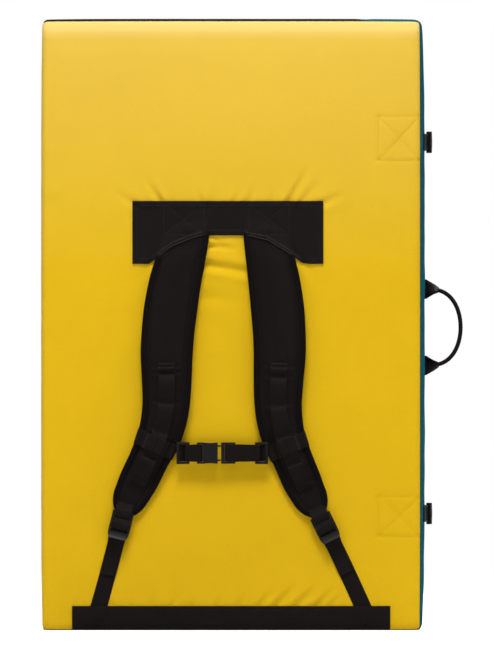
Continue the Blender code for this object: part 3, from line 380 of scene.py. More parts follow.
def woven(name, colour, pitch, roughness, sheen, specular, wear=0.10, strength=0.6, top_highlight=None):
    """Plain woven nylon: crossing threads, slubs and slow drift, with a painted highlight that pales it
    towards the top where asked.
    """
    graph = Graph(name, Roughness=roughness, Sheen_Weight=sheen, Sheen_Roughness=SHEEN_ROUGHNESS,
                  Specular_IOR_Level=specular)
    uv = graph.place("UV")
    place = graph.place()
    u, v, _ = graph.split(uv)
    slub = graph.noise(uv, 140.0)
    bent_u = graph.math("MULTIPLY_ADD", graph.math("SUBTRACT", slub, 0.5), pitch * 0.9, u)
    across, along = graph.sine(bent_u, pitch), graph.sine(v, pitch)
    crossing = graph.math("MULTIPLY", across, along)
    warp, weft = (graph.math("POWER", graph.math("ABSOLUTE", thread), 0.6) for thread in (across, along))
    upper = graph.add("ShaderNodeMix", {0: graph.math("GREATER_THAN", crossing, 0.0), 2: weft, 3: warp},
                      data_type="FLOAT").outputs[0]
    dome = graph.math("MULTIPLY", upper, graph.math("ABSOLUTE", crossing))
    height = graph.math("MULTIPLY_ADD", slub, 0.5, dome)
    threads = graph.ramp(dome, 0.80, 1.04)
    drift = graph.ramp(graph.noise(place, 5.5, 3.0, 0.6), 1 - wear * 0.6, 1 + wear * 0.5, 0.3, 0.7)
    grain = graph.ramp(graph.noise(uv, 330.0), 1 - wear * 0.5, 1 + wear * 0.5, 0.3, 0.7)
    base = graph.tinted(graph.math("MULTIPLY", graph.math("MULTIPLY", threads, drift), grain), colour)
    # Painted highlight: the colour is mixed towards a pale tone near the pad's top edge
    if top_highlight:
        level = graph.split(place)[2]
        slow, steep = (graph.ramp(level, 0.0, share, PAD_HEIGHT - start, PAD_HEIGHT - end)
                       for start, end, share in PAINTED_TOP_HIGHLIGHT)
        base = graph.mix(graph.math("ADD", slow, steep), base, top_highlight)
    rough = graph.ramp(graph.noise(uv, 60.0, 3.0), roughness - 0.06, min(1.0, roughness + 0.08))
    return graph.finish(base, rough, height, strength, 0.00035)


def webbed(name, colour, roughness, specular, rib=0.0016, thread=0.00115, chevron=0.0068):
    """Nylon webbing: twill chevrons along the strip over fine warp threads."""
    graph = Graph(name, Roughness=roughness, Specular_IOR_Level=specular, Sheen_Weight=0.04,
                  Sheen_Roughness=SHEEN_ROUGHNESS)
    uv = graph.place("UV")
    u, v, _ = graph.split(uv)
    run = graph.math("ADD", graph.math("MULTIPLY", v, math.pi / rib),
                     graph.math("MULTIPLY", graph.wave(u, chevron), 2.2))
    twill = graph.math("ABSOLUTE", graph.math("SINE", run))
    fuzz = graph.noise(uv, 900.0)
    warp = graph.math("MULTIPLY_ADD", graph.wave(u, thread), 0.55, twill)
    height = graph.math("MULTIPLY_ADD", fuzz, 0.25, warp)
    light = graph.ramp(height, 0.75, 1.5, 0.2, 1.7)
    drift = graph.ramp(graph.noise(uv, 45.0, 3.0), 0.85, 1.25, 0.3, 0.7)
    rough = graph.ramp(fuzz, roughness - 0.08, roughness + 0.1)
    base = graph.tinted(graph.math("MULTIPLY", light, drift), colour)
    return graph.finish(base, rough, height, 0.6, 0.0004)


def ribbed_tape(name, colour, rib=0.0010):
    """Binding tape with fine ribs across it."""
    graph = Graph(name, Roughness=0.78, Specular_IOR_Level=0.02)
    uv = graph.place("UV")
    height = graph.math("MULTIPLY_ADD", graph.noise(uv, 700.0), 0.35, graph.wave(graph.split(uv)[1], rib))
    light = graph.ramp(height, 0.7, 1.35, 0.2, 1.3)
    return graph.finish(graph.tinted(light, colour), None, height, 0.55, 0.0003)


def spacer_mesh(name, colour):
    """Open mesh cloth with small round holes."""
    graph = Graph(name, Roughness=0.85, Specular_IOR_Level=0.1)
    uv = graph.place("UV")
    cells = graph.add("ShaderNodeTexVoronoi", {"Vector": uv, "Scale": 420.0, "Randomness": 0.25})
    hole = graph.ramp(cells.outputs["Distance"], 0.0, 1.0, 0.22, 0.42)
    fibre = graph.noise(uv, 1600.0)
    light = graph.math("MULTIPLY", graph.ramp(hole, 0.35, 1.25), graph.ramp(fibre, 0.8, 1.2))
    return graph.finish(graph.tinted(light, colour), None, hole, 0.7, 0.0008)


def moulded(name, colour, roughness=0.38):
    """Moulded plastic: fine spark texture and scuffs."""
    graph = Graph(name, Roughness=roughness, Specular_IOR_Level=0.12)
    place = graph.place()
    spark = graph.noise(place, 2600.0)
    scuff = graph.noise(place, 240.0, 4.0, 0.7)
    light = graph.ramp(scuff, 0.85, 1.35, 0.35, 0.75)
    rough = graph.ramp(scuff, roughness - 0.06, roughness + 0.18, 0.3, 0.75)
    return graph.finish(graph.tinted(light, colour), rough, spark, 0.25, 0.00012)


def thread_stuff(name, colour):
    """Sewing thread with its twist."""
    graph = Graph(name, Roughness=0.6, Specular_IOR_Level=0.1)
    ply = graph.noise(graph.place(), 3500.0, 1.0)
    return graph.finish(graph.tinted(graph.ramp(ply, 0.7, 1.3), colour), None, ply, 0.4, 0.0001)


def foam_stuff(name, colour, cells):
    """Cut foam with open or closed cells."""
    graph = Graph(name, Roughness=0.95, Specular_IOR_Level=0.15)
    place = graph.place()
    pores = graph.add("ShaderNodeTexVoronoi", {"Vector": place, "Scale": cells}).outputs["Distance"]
    light = graph.math("MULTIPLY", graph.ramp(pores, 0.7, 1.1, 0.0, 0.6),
                       graph.ramp(graph.noise(place, 12.0, 3.0), 0.9, 1.1))
    return graph.finish(graph.tinted(light, colour), None, pores, 0.6, 0.001)


# The yellow is painted paler towards the top edge: a painted highlight of the top roll
YELLOW = woven("yellow_nylon", (0.706, 0.437, 0.0085), 0.00085, 0.74, sheen=0.15, specular=0.02,
               wear=0.05, strength=0.55, top_highlight=(0.76, 0.60, 0.27))
BLUE = woven("blue_nylon", (0.0060, 0.100, 0.148), 0.00085, 0.74, sheen=0.0, specular=0.01)
BLACK_CLOTH = woven("black_nylon", (0.0068, 0.0058, 0.0060), 0.00085, 0.80, sheen=0.15, specular=0.02,
                    wear=0.25)
LANDING = woven("landing_nylon", (0.011, 0.0105, 0.0115), 0.0011, 0.82, sheen=0.10, specular=0.02,
                wear=0.30)
PATCH_CLOTH = woven("patch_nylon", (0.0062, 0.0042, 0.0039), 0.00070, 0.50, sheen=0.06, specular=0.05,
                    wear=0.22)
STRAP_CLOTH = woven("strap_nylon", (0.0043, 0.0028, 0.0025), 0.00060, 0.48, sheen=0.06, specular=0.05,
                    wear=0.20)
WEB = webbed("black_webbing", (0.0026, 0.0014, 0.0012), 0.46, 0.065)
TAPE = ribbed_tape("binding_tape", (0.0040, 0.0033, 0.0033))
AIR_MESH = spacer_mesh("back_mesh", (0.012, 0.012, 0.013))
PLASTIC = moulded("black_plastic", (0.0042, 0.0037, 0.0038))
BLACK_THREAD = thread_stuff("black_thread", (0.0080, 0.0070, 0.0070))
# Grey thread, paler than the black, that paints highlights along the yoke's stitch rows
PATCH_HIGHLIGHT_THREAD = thread_stuff("patch_highlight_thread", (0.017, 0.0155, 0.0155))
# Pale thread for the yoke's arc rows: it paints the highlights along the arcs' hem and the strap tops
ARC_HIGHLIGHT_THREAD = thread_stuff("arc_highlight_thread", (0.040, 0.038, 0.038))
YELLOW_THREAD = thread_stuff("yellow_thread", (0.60, 0.355, 0.006))
FIRM_FOAM = foam_stuff("firm_foam", (0.10, 0.10, 0.11), 900.0)
SOFT_FOAM = foam_stuff("soft_foam", (0.62, 0.60, 0.50), 520.0)


def webbing(name, frames, body, node, width=WEBBING_WIDTH, thick=WEBBING, **form):
    """Strip of webbing along frames, on a body, that stands for a node."""
    made = ribbon(name, frames, width, thick, WEB, "webbing_black", **form)
    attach(made, body)
    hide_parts(node)
    return made


# Pad halves
def skin(sign, x, z, depth, offset=0.0):
    """Points of a half's skin for points on its box; every value may be an array."""
    x, z, depth = np.broadcast_arrays(*(np.asarray(v, float) for v in (x, z, depth)))
    round_x = np.where(x < X_MID, SPINE_EDGE_ROUND, OPEN_EDGE_ROUND)
    round_d = np.where(depth < HALF_DEPTH / 2, LANDING_EDGE_ROUND, OUTER_EDGE_ROUND)
    core = np.stack([
        np.clip(x, X_SPINE + round_x, X_OPEN - round_x),
        np.clip(z, END_EDGE_ROUND, PAD_HEIGHT - END_EDGE_ROUND),
        np.clip(depth, round_d, HALF_DEPTH - round_d),
    ], -1)
    rounds = np.stack([round_x, np.full_like(round_x, END_EDGE_ROUND), round_d], -1)
    lean = unit((np.stack([x, z, depth], -1) - core) / rounds)
    px, pz, pd = np.moveaxis(core + lean * (rounds + offset), -1, 0)
    across = np.clip((px - X_MID) / X_HALF, -1, 1)
    along = np.clip(2 * pz / PAD_HEIGHT - 1, -1, 1)
    belly = np.sin(np.pi * np.clip(pd / HALF_DEPTH, 0, 1))
    bulge = np.where(across > 0, OPEN_BULGE, SPINE_BULGE)
    px = px + np.sign(across) * bulge * across ** 2 * belly * (1 - along ** 6)
    pz = pz + TOP_BULGE * np.maximum(0, along) ** 2 * belly * (1 - across ** 6)
    pd = pd + crown(px, pz) * pd / HALF_DEPTH
    return np.stack([px, sign * (MID_GAP + pd), pz], -1)


def crown(x, z):
    """Swell of a half's outer face over its box."""
    across = np.clip(np.abs((np.asarray(x) - X_MID) / X_HALF), 0, 1)
    along = np.clip(np.abs(2 * np.asarray(z) / PAD_HEIGHT - 1), 0, 1)
    return FACE_CROWN * (1 - across ** 3) * (1 - along ** 4)


def stations(low, high, low_round, high_round, step, extra=(), turns=3):
    """Places from low to high, closer together in the rounded ends."""
    middle = max(1, int(round((high - high_round - low - low_round) / step)))
    places = [low + low_round * turn / turns for turn in range(turns)]
    places += list(np.linspace(low + low_round, high - high_round, middle + 1))
    places += [high - high_round * (turns - turn) / turns for turn in range(1, turns + 1)]
    for value in extra:
        nearest = min(range(len(places)), key=lambda index: abs(places[index] - value))
        places[nearest] = value
    return np.array(places)


BLUE_TOP_X = at_pixel(364, 0)[0]
BLUE_FOOT_X = at_pixel(358, 0)[0]
# The panels of a cover: name, node, material and slot
PANELS = (
    ("shell", "outer_shell", YELLOW, "shell_yellow"),
    ("open_gusset", "open_gusset", BLUE, "gusset_blue"),
    ("top_gusset", "top_gusset", BLACK_CLOTH, "gusset_black"),
    ("bottom_gusset", "bottom_gusset", BLACK_CLOTH, "gusset_black"),
    ("landing", "landing_panel", LANDING, "landing_black"),
)
SHELL, OPEN, TOP, BOTTOM, INSIDE = range(len(PANELS))
COVER_GRID = 0.0115
PRESSURE = 3.0
SWELL_CAP = 0.0045
SWELL_SHARE = 0.35
SEAM_INSET = 0.0011


def box_mesh(step):
    """Box points, faces, zones and metric uv of one half's cover."""
    xs = stations(X_SPINE, X_OPEN, SPINE_EDGE_ROUND, OPEN_EDGE_ROUND, step, (BLUE_TOP_X, BLUE_FOOT_X))
    zs = stations(0, PAD_HEIGHT, END_EDGE_ROUND, END_EDGE_ROUND, step)
    ds = stations(0, HALF_DEPTH, LANDING_EDGE_ROUND, OUTER_EDGE_ROUND, step)
    numbers, points, faces, zones, uvs = {}, [], [], [], []

    def number(i, k, d):
        key = (i, k, d)
        if key not in numbers:
            numbers[key] = len(points)
            points.append((xs[i], zs[k], ds[d]))
        return numbers[key]

    def add(corners, zone, to_uv):
        faces.append(tuple(number(*corner) for corner in corners))
        zones.append(zone)
        uvs.extend(to_uv(xs[i], zs[k], ds[d]) for i, k, d in corners)

    last = (len(xs) - 1, len(zs) - 1, len(ds) - 1)
    for i in range(last[0]):
        for k in range(last[1]):
            ring = ((i, k), (i + 1, k), (i + 1, k + 1), (i, k + 1))
            add([(a, b, last[2]) for a, b in ring], SHELL, lambda x, z, d: (x, z))
            add([(a, b, 0) for a, b in reversed(ring)], INSIDE, lambda x, z, d: (x, z))
    for i in range(last[0]):
        middle = (xs[i] + xs[i + 1]) / 2
        for d in range(last[2]):
            ring = ((i, d), (i, d + 1), (i + 1, d + 1), (i + 1, d))
            top_zone = OPEN if middle > BLUE_TOP_X else TOP
            foot_zone = OPEN if middle > BLUE_FOOT_X else BOTTOM
            add([(a, last[1], b) for a, b in reversed(ring)], top_zone, lambda x, z, d: (x - X_OPEN, d))
            add([(a, 0, b) for a, b in ring], foot_zone, lambda x, z, d: (X_OPEN - x + PAD_HEIGHT, d))
    for k in range(last[1]):
        for d in range(last[2]):
            ring = ((k, d), (k, d + 1), (k + 1, d + 1), (k + 1, d))
            add([(last[0], a, b) for a, b in ring], OPEN, lambda x, z, d: (PAD_HEIGHT - z, d))
            add([(0, a, b) for a, b in reversed(ring)], SHELL,
                lambda x, z, d: (X_SPINE - HALF_DEPTH + d, z))
    return np.array(points), faces, np.array(zones), np.array(uvs)


def puff(made, pins, pressure, cap, stiffness=15.0, frames=20):
    """Swell a closed mesh as cloth under pressure and give back its capped moves."""
    rest = coordinates(made.data)
    group = made.vertex_groups.new(name="pins")
    for weight in sorted(set(np.round(pins, 2))):
        if weight > 0:
            group.add(np.nonzero(np.round(pins, 2) == weight)[0].tolist(), float(weight), "REPLACE")
    cloth = made.modifiers.new("Cloth", "CLOTH")
    settings = cloth.settings
    settings.quality = 6
    settings.mass = 0.3
    settings.tension_stiffness = stiffness
    settings.compression_stiffness = stiffness
    settings.shear_stiffness = stiffness / 2
    settings.bending_stiffness = 1.0
    settings.use_pressure = True
    settings.uniform_pressure_force = pressure
    settings.effector_weights.gravity = 0
    settings.vertex_group_mass = "pins"
    settings.pin_stiffness = 1.0
    cloth.collision_settings.use_collision = False
    cloth.point_cache.frame_start = 1
    cloth.point_cache.frame_end = frames
    scene = bpy.context.scene
    scene.frame_start = 1
    scene.frame_end = frames
    for number in range(1, frames + 1):
        scene.frame_set(number)
    graph = bpy.context.evaluated_depsgraph_get()
    moved = coordinates(made.evaluated_get(graph).data) - rest
    made.modifiers.remove(cloth)
    made.vertex_groups.clear()
    scene.frame_set(1)
    size = np.maximum(np.linalg.norm(moved, axis=1, keepdims=True), 1e-9)
    return moved * np.minimum(1, cap / size)


FOLD_STEEP = 2.2
FOLD_RIDGE = 1.35


def fold_line(x, z, start, end, width, depth, ridge=0.35):
    """A crease from start to end with a soft ridge on each side; deepest at start."""
    run = np.array(end) - np.array(start)
    length = np.hypot(*run)
    run = run / length
    dx, dz = x - start[0], z - start[1]
    along = (dx * run[0] + dz * run[1]) / length
    off = (dx * -run[1] + dz * run[0]) / width
    fade = np.where(along < 0, np.exp(-(along * length / width) ** 2), np.clip(1 - along, 0, 1))
    crease, ridges = (np.exp(-place ** 2 * FOLD_STEEP) for place in (off, np.abs(off) - FOLD_RIDGE))
    return depth * fade * (ridge * ridges - crease)


def bumps(x, z, size, seed):
    """Smooth random swell, about -1 to 1, with lumps of one size."""
    flat = np.array([noise.noise((px / size, pz / size, seed)) for px, pz in zip(x.ravel(), z.ravel())])
    return flat.reshape(x.shape) * 1.6


YOKE_FOLDS = (
    ((159.8, 200.5), (143.5, 175.5), 0.0075, 0.0042),
    ((170.5, 200.5), (163.0, 176.0), 0.0100, 0.0014),
    ((201.5, 200.5), (195.5, 187.5), 0.0065, 0.0024),
    ((213.5, 200.5), (217.5, 170.0), 0.0090, 0.0016),
    ((234.5, 200.5), (240.5, 190.5), 0.0060, 0.0019),
    ((248.5, 200.5), (258.5, 181.5), 0.0080, 0.0019),
    ((271.5, 200.5), (277.5, 180.5), 0.0100, 0.0013),
    ((290.0, 200.5), (309.5, 165.5), 0.0080, 0.0043),
    ((301.5, 200.5), (327.0, 176.0), 0.0090, 0.0019),
    ((323.5, 203.0), (346.5, 193.0), 0.0085, 0.0027),
    ((132.0, 203.0), (112.0, 190.0), 0.0085, 0.0021),
    ((150.0, 265.0), (136.0, 284.0), 0.0090, 0.0014),
    ((305.0, 265.0), (322.0, 288.0), 0.0090, 0.0014),
)
BELOW_YOKE_FOLDS = (
    ((208.0, 246.5), (240.0, 248.5), 0.0060, 0.0040),
    ((203.0, 264.0), (256.0, 271.0), 0.0100, 0.0062),
    ((247.0, 272.0), (204.0, 268.0), 0.0100, 0.0034),
    ((212.0, 236.5), (228.0, 250.5), 0.0060, 0.0020),
    ((200.5, 297.0), (250.0, 302.5), 0.0150, 0.0022),
)
BAND_FOLDS = (
    ((112.0, 606.5), (104.0, 592.0), 0.0060, 0.0015),
    ((131.0, 606.5), (124.0, 594.5), 0.0065, 0.0013),
    ((152.0, 606.5), (160.0, 588.0), 0.0070, 0.0013),
    ((171.0, 606.5), (180.5, 593.0), 0.0060, 0.0015),
    ((193.0, 606.5), (199.5, 589.5), 0.0075, 0.0014),
    ((216.0, 606.5), (224.0, 593.0), 0.0060, 0.0015),
    ((238.0, 606.5), (248.5, 590.5), 0.0070, 0.0016),
    ((259.0, 606.5), (274.5, 588.5), 0.0070, 0.0024),
    ((276.0, 606.5), (297.0, 584.0), 0.0080, 0.0030),
    ((297.0, 606.5), (320.0, 582.5), 0.0080, 0.0029),
    ((317.0, 606.5), (338.0, 586.0), 0.0075, 0.0026),
    ((332.0, 604.0), (344.0, 592.0), 0.0065, 0.0018),
    ((377.0, 606.5), (381.5, 595.0), 0.0060, 0.0012),
    ((84.0, 606.5), (79.5, 592.5), 0.0060, 0.0012),
)
BOX_STITCHES = {
    "upper": (at_pixel(378.6, 116), at_pixel(419.5, 160)),
    "lower": (at_pixel(378.6, 496), at_pixel(419.5, 536)),
}


# Random swell of a face, as height, lump size and seed: broad, fine, and near the edges only
FACE_SWELLS = ((0.0006, 0.16, 3.0), (0.00022, 0.05, 11.0), (0.0009, 0.045, 23.0))
RIM_REACH = 0.035
BOX_RISE = 0.0004
BOX_SINK = 0.0010
BOX_LINE = 0.0028


def groove(distance, width):
    """Cross-section of a stitched line, from 0 beside it to 1 in it."""
    return np.exp(-(distance / width) ** 2)


def to_segment(x, z, start, end):
    """Distance of points from a line between two places."""
    run = np.array(end) - np.array(start)
    share = np.clip(((x - start[0]) * run[0] + (z - start[1]) * run[1]) / (run @ run), 0, 1)
    return np.hypot(x - start[0] - share * run[0], z - start[1] - share * run[1])


def box_lines(corner_a, corner_b):
    """The four sides and two diagonals of a stitched box."""
    (left, top), (right, low) = corner_a, corner_b
    return (((left, top), (right, top)), ((right, top), (right, low)), ((right, low), (left, low)),
            ((left, low), (left, top)), ((left, top), (right, low)), ((left, low), (right, top)))


def face_relief(sign, x, z):
    """Height of folds and stitched places over a half's smooth outer face."""
    broad, fine, rim = (height * bumps(x, z, size, seed * sign) for height, size, seed in FACE_SWELLS)
    edge = np.minimum(np.minimum(X_OPEN - x, x - X_SPINE), np.minimum(PAD_HEIGHT - z, z))
    relief = broad + fine + rim * np.exp(-np.maximum(edge, 0) / RIM_REACH)
    if sign < 0:
        for start, end, width, depth in YOKE_FOLDS + BELOW_YOKE_FOLDS + BAND_FOLDS:
            relief = relief + fold_line(x, z, at_pixel(*start), at_pixel(*end), width, depth)
    for corner_a, corner_b in BOX_STITCHES.values():
        inside = (x > corner_a[0]) & (x < corner_b[0]) & (z < corner_a[1]) & (z > corner_b[1])
        relief = relief + np.where(inside, BOX_RISE, 0.0)
        for start, end in box_lines(corner_a, corner_b):
            relief = relief - BOX_SINK * groove(to_segment(x, z, start, end), BOX_LINE)
    return relief


# How far the outer face is drawn out at an edge, how far from it that begins, and over what length
TOP_RIM = (0.0036, 0.020, 0.015)
FOOT_RIM = (0.0034, 0.018, 0.014)
SPINE_RIM = (0.0032, 0.012, 0.010)
OPEN_RIM = (0.0012, 0.016, 0.012)
FOOT_CLEARANCE = 0.0009
ROLL = 0.0185
ROLL_FALL = 0.0042
SEAM_RADIUS = 0.0007
SEAM_SIDES = 6
RIM_DEPTH = 0.022
RIM_RUN = 0.012
REST_LEVEL = -0.0006
NORMAL_LEVEL = 0.001
LOOSE_PIN = 0.02
SIDE_FROM = 0.006
SIDE_RELIEF = 0.0006
SIDE_BUMPS = (0.05, 31.0)
SEAM_LEAN = (0.3, 0.5, 0.8)
COVERS = {}


def shape_rim(co, sign):
    """Draw the outer face out to its seams: a flat roll along the top and tight edges elsewhere."""
    depth = sign * co[:, 1] - MID_GAP
    outer = smoothstep((depth - (HALF_DEPTH - RIM_DEPTH)) / RIM_RUN)

    def drawn(inset, rim):
        reach, begins, length = rim
        return reach * smoothstep((begins - inset) / length) * outer

    co[:, 2] += drawn(PAD_HEIGHT - co[:, 2], TOP_RIM)
    co[:, 2] -= drawn(co[:, 2], FOOT_RIM)
    co[:, 2] = np.maximum(co[:, 2], FOOT_CLEARANCE)
    co[:, 0] -= drawn(co[:, 0] - X_SPINE, SPINE_RIM)
    co[:, 0] += drawn(X_OPEN - co[:, 0], OPEN_RIM)
    roll = np.clip((co[:, 2] - (PAD_HEIGHT - ROLL)) / ROLL, 0, 1)
    co[:, 1] -= sign * ROLL_FALL * roll * outer


def seam_chains(made):
    """Rows of vertex numbers along the edges where two panels meet."""
    zones = {}
    for face in made.data.polygons:
        for key in face.edge_keys:
            zones.setdefault(key, set()).add(face.material_index)
    near = {}
    for (start, end), both in zones.items():
        if len(both) > 1:
            near.setdefault(start, []).append(end)
            near.setdefault(end, []).append(start)
    used, chains = set(), []
    for start in sorted(near, key=lambda vertex: (len(near[vertex]) == 2, vertex)):
        for follow in near[start]:
            if (start, follow) in used:
                continue
            chain = [start, follow]
            used.update(((start, follow), (follow, start)))
            while len(near[chain[-1]]) == 2:
                ahead = [vertex for vertex in near[chain[-1]] if (chain[-1], vertex) not in used]
                if not ahead:
                    break
                used.update(((chain[-1], ahead[0]), (ahead[0], chain[-1])))
                chain.append(ahead[0])
            chains.append(chain)
    return chains


def make_seams(whole, half):
    """Round black cord in each seam of a half's cover, which also paints the shade in the seam's groove."""
    co = coordinates(whole.data)
    points, faces = [], []
    for chain in seam_chains(whole):
        row = co[chain]
        course = unit(np.gradient(row, axis=0))
        across = unit(np.cross(course, SEAM_LEAN))
        faces += tube_faces(len(points), len(row), SEAM_SIDES)
        for spot, side, up in zip(row, across, np.cross(course, across)):
            points += ring_points(spot, side, up, SEAM_RADIUS, SEAM_SIDES)
    # The black cord stands for the seam and paints the shade of its groove as well
    cord = outward(make_mesh(f"{half}_seam_shade_cord", points, faces, BLACK_THREAD))
    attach(cord, f"{half}_half")


def make_cover(half):
    """Sewn cover of one half: swelled as cloth, creased, then cut into its panels."""
    sign = -1 if half == "front" else 1
    box, faces, zones, uvs = box_mesh(COVER_GRID)
    rest = skin(sign, box[:, 0], box[:, 1], box[:, 2], REST_LEVEL)
    if sign > 0:
        faces = [tuple(reversed(face)) for face in faces]
        uvs = uvs.reshape(-1, 4, 2)[:, ::-1].reshape(-1, 2)
    whole = make_mesh(f"{half}_cover", rest, faces, YELLOW, loop_uvs=uvs)
    for _, _, material, _ in PANELS[1:]:
        whole.data.materials.append(material)
    whole.data.polygons.foreach_set("material_index", zones)
    touch = [set() for _ in rest]
    for face, zone in zip(faces, zones):
        for corner in face:
            touch[corner].add(int(zone))
    seam = np.array([len(zone) > 1 for zone in touch])
    landing = box[:, 2] < LANDING_EDGE_ROUND
    standing = box[:, 1] < END_EDGE_ROUND
    pins = np.where(seam | landing | standing, 1.0, LOOSE_PIN)
    moved = puff(whole, pins, PRESSURE, SWELL_CAP)
    moved[landing | standing] = 0
    inset = np.where(seam & ~landing & ~standing, SEAM_INSET, 0.0)[:, None]
    normal = unit(skin(sign, box[:, 0], box[:, 1], box[:, 2], NORMAL_LEVEL) - rest)
    moved -= normal * np.minimum((moved * normal).sum(1, keepdims=True), 0)
    move_to(whole, rest + moved * SWELL_SHARE - normal * inset)
    subdivide(whole, 2)
    co = coordinates(whole.data)
    front = sign * co[:, 1] > MID_GAP + HALF_DEPTH - OUTER_EDGE_ROUND * 0.75
    relief = np.zeros(len(co))
    relief[front] = face_relief(sign, co[front, 0], co[front, 2])
    depth = sign * co[:, 1] - MID_GAP
    fade = np.clip((depth - (HALF_DEPTH - OUTER_EDGE_ROUND)) / OUTER_EDGE_ROUND, 0, 1)
    co[:, 1] += sign * relief * fade
    side = (~front) & (co[:, 0] > X_MID) & (depth > SIDE_FROM)
    size, seed = SIDE_BUMPS
    co[side, 0] += SIDE_RELIEF * bumps(co[side, 2], depth[side], size, seed * sign)
    shape_rim(co, sign)
    move_to(whole, co)
    make_seams(whole, half)
    COVERS[half] = BVHTree.FromPolygons([Vector(p) for p in co.tolist()],
                                        [tuple(f.vertices) for f in whole.data.polygons])
    for index, (zone, node, material, slot) in enumerate(PANELS):
        part = whole.copy()
        part.data = whole.data.copy()
        part.name = f"{half}_{zone}_cover"
        part.data.name = part.name
        bpy.context.scene.collection.objects.link(part)
        with editing(part.data) as work:
            others = [face for face in work.faces if face.material_index != index]
            bmesh.ops.delete(work, geom=others, context="FACES")
            for face in work.faces:
                face.material_index = 0
                face.smooth = True
        part.data.materials.clear()
        part.data.materials.append(material)
        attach(part, f"{half}_half")
        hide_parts(f"{half}_{node}")
    bpy.data.objects.remove(whole)


FOAM_INSET = (0.006, 0.0035, 0.006)
FOAM_BEVEL = 0.0015


def make_foams(half):
    """Foam slabs inside the cover, a little smaller than the solids that they stand for."""
    for label, material in (("landing", FIRM_FOAM), ("core", SOFT_FOAM), ("base", FIRM_FOAM)):
        node = frame["nodes"][f"{half}_foam_{label}"]
        low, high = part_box(node.name)
        middle = np.array((low + high) / 2 - ORIGIN)
        shrink = 1 - np.array(FOAM_INSET) / ((np.array(high) - np.array(low)) / 2)
        co = middle + (coordinates(node.data) - middle) * np.clip(shrink, 0.5, 1)
        faces = [tuple(f.vertices) for f in node.data.polygons]
        slab = make_mesh(f"{half}_{label}_foam_slab", co, faces, material,
                         smooth=False)
        with editing(slab.data) as work:
            bmesh.ops.remove_doubles(work, verts=work.verts, dist=1e-6)
            bmesh.ops.dissolve_limit(work, angle_limit=math.radians(1), verts=work.verts, edges=work.edges)
            bmesh.ops.bevel(work, geom=work.edges[:], offset=FOAM_BEVEL, segments=2, affect="EDGES")
        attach(slab, f"{half}_half")
        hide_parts(node.name)


for half_name in ("front", "rear"):
    make_cover(half_name)
    make_foams(half_name)


def front_place(x, z, level=0.0):
    """Point over the front cover, level metres off its surface, and the surface's normal."""
    hit, normal, _, _ = COVERS["front"].ray_cast(Vector((x, -0.3, z)), Vector((0, 1, 0)))
    if hit is None:
        point = skin(-1, x, z, HALF_DEPTH)
        hit, normal = Vector(point), Vector((0, -1, 0))
    if normal.y > 0:
        normal = -normal
    return hit + normal * level, normal


# Harness plan
YOKE_LEFT = -0.1657
YOKE_RIGHT = 0.1472
YOKE_TOP = 0.7040
YOKE_LOW = 0.6007
YOKE_ARCH_RISE = 0.0469
YOKE_THICK = 0.0018
YOKE_CORNER = 0.0016
YOKE_ROWS = (0.0022, 0.0080)
YOKE_ARC_ROWS = (0.0010, 0.0056)
YOKE_HEM = 0.0095
BAND_LEFT = -0.2647
BAND_RIGHT = 0.2570
BAND_TOP = 0.0402
BAND_FOOT = 0.0020
BAND_THICK = 0.0018
BAND_ROWS = (0.0022, 0.0060)
HARNESS_X = -0.0164
STRAP_TOP_Z = 0.6476
STRAP_DROP = 0.4590
STRAP_SPREAD = 0.160
STRAP_WIDTH = 0.087
STRAP_EDGE_FOAM = 0.0030
STRAP_CROWN = 0.0075
STRAP_SKIN = 0.0010
SEAM_GAP = 0.0003
STRAP_LIFT = 0.010
STRAP_BASE = 0.0021
BINDING_JAW = 0.007
BINDING_MARGIN = 0.0045
BINDING_THICK = 0.0010
TAPE_GAP = 0.0002
DAISY_LOOP_RISE = 0.0044
DAISY_TACK_LENGTH = 0.004
STERNUM_BAND_WIDTH = 0.026
STRAP_SHARES = (
    (0.000, 0.382, 0.440, 0.840),
    (0.088, 0.439, 0.481, 0.890),
    (0.165, 0.494, 0.519, 0.942),
    (0.266, 0.543, 0.555, 0.972),
    (0.341, 0.567, 0.570, 0.962),
    (0.418, 0.581, 0.576, 0.952),
    (0.513, 0.581, 0.564, 0.909),
    (0.595, 0.586, 0.559, 0.866),
    (0.658, 0.610, 0.575, 0.834),
    (0.715, 0.656, 0.611, 0.794),
    (0.798, 0.762, 0.708, 0.718),
    (0.877, 0.871, 0.804, 0.701),
    (0.930, 0.947, 0.878, 0.640),
    (1.000, 1.041, 0.986, 0.620),
)
LEFT_TACK_SHARES = (0.491, 0.595, 0.698, 0.791, 0.873)
RIGHT_TACK_SHARES = (0.504, 0.604, 0.716, 0.811, 0.888)
DAISY_START_SHARE = 0.466
STERNUM_BAND_SHARES = {"left": 0.747, "right": 0.754}
YOKE_EDGE_SHARES = (
    (0.000, 0.000), (0.086, 0.000), (0.118, 0.150), (0.162, 0.400), (0.206, 0.610),
    (0.298, 0.860), (0.365, 1.000), (0.590, 1.000), (0.708, 0.830), (0.815, 0.390),
    (0.850, 0.220), (0.891, 0.030), (0.930, 0.000), (1.000, 0.000),
)
TIP_START_SHARE = 0.925
TIP_NARROW_SHARE = 0.40
CROWN_FADE_SHARE = 0.80
CROWN_END_SHARE = 0.92
CREST_POWER = 0.62
EMERGE_LEAD = 0.004
EMERGE_RUN = 0.075
COURSE_PROBE = 0.005
SIDE_PROBE = 0.008
LATEST_START = 0.25
YOKE_OVERLAP = 0.0012
STRAP_EDGE = 2 * STRAP_SKIN + 2 * SEAM_GAP + STRAP_EDGE_FOAM
BINDING_TOP = STRAP_EDGE + WEB_GAP + BINDING_THICK


def strap_lift(z):
    """Bow of the straps off the face, none at the yoke and the tips."""
    share = clamp((STRAP_TOP_Z - z) / STRAP_DROP)
    return STRAP_LIFT * math.sin(math.pi * share) ** 2


def lay(x, z, level):
    """Point over the front face at a level above the straps' back."""
    face = MID_GAP + HALF_DEPTH + float(crown(x, z))
    return Vector((x, -(face + STRAP_BASE + strap_lift(z) + level), z))


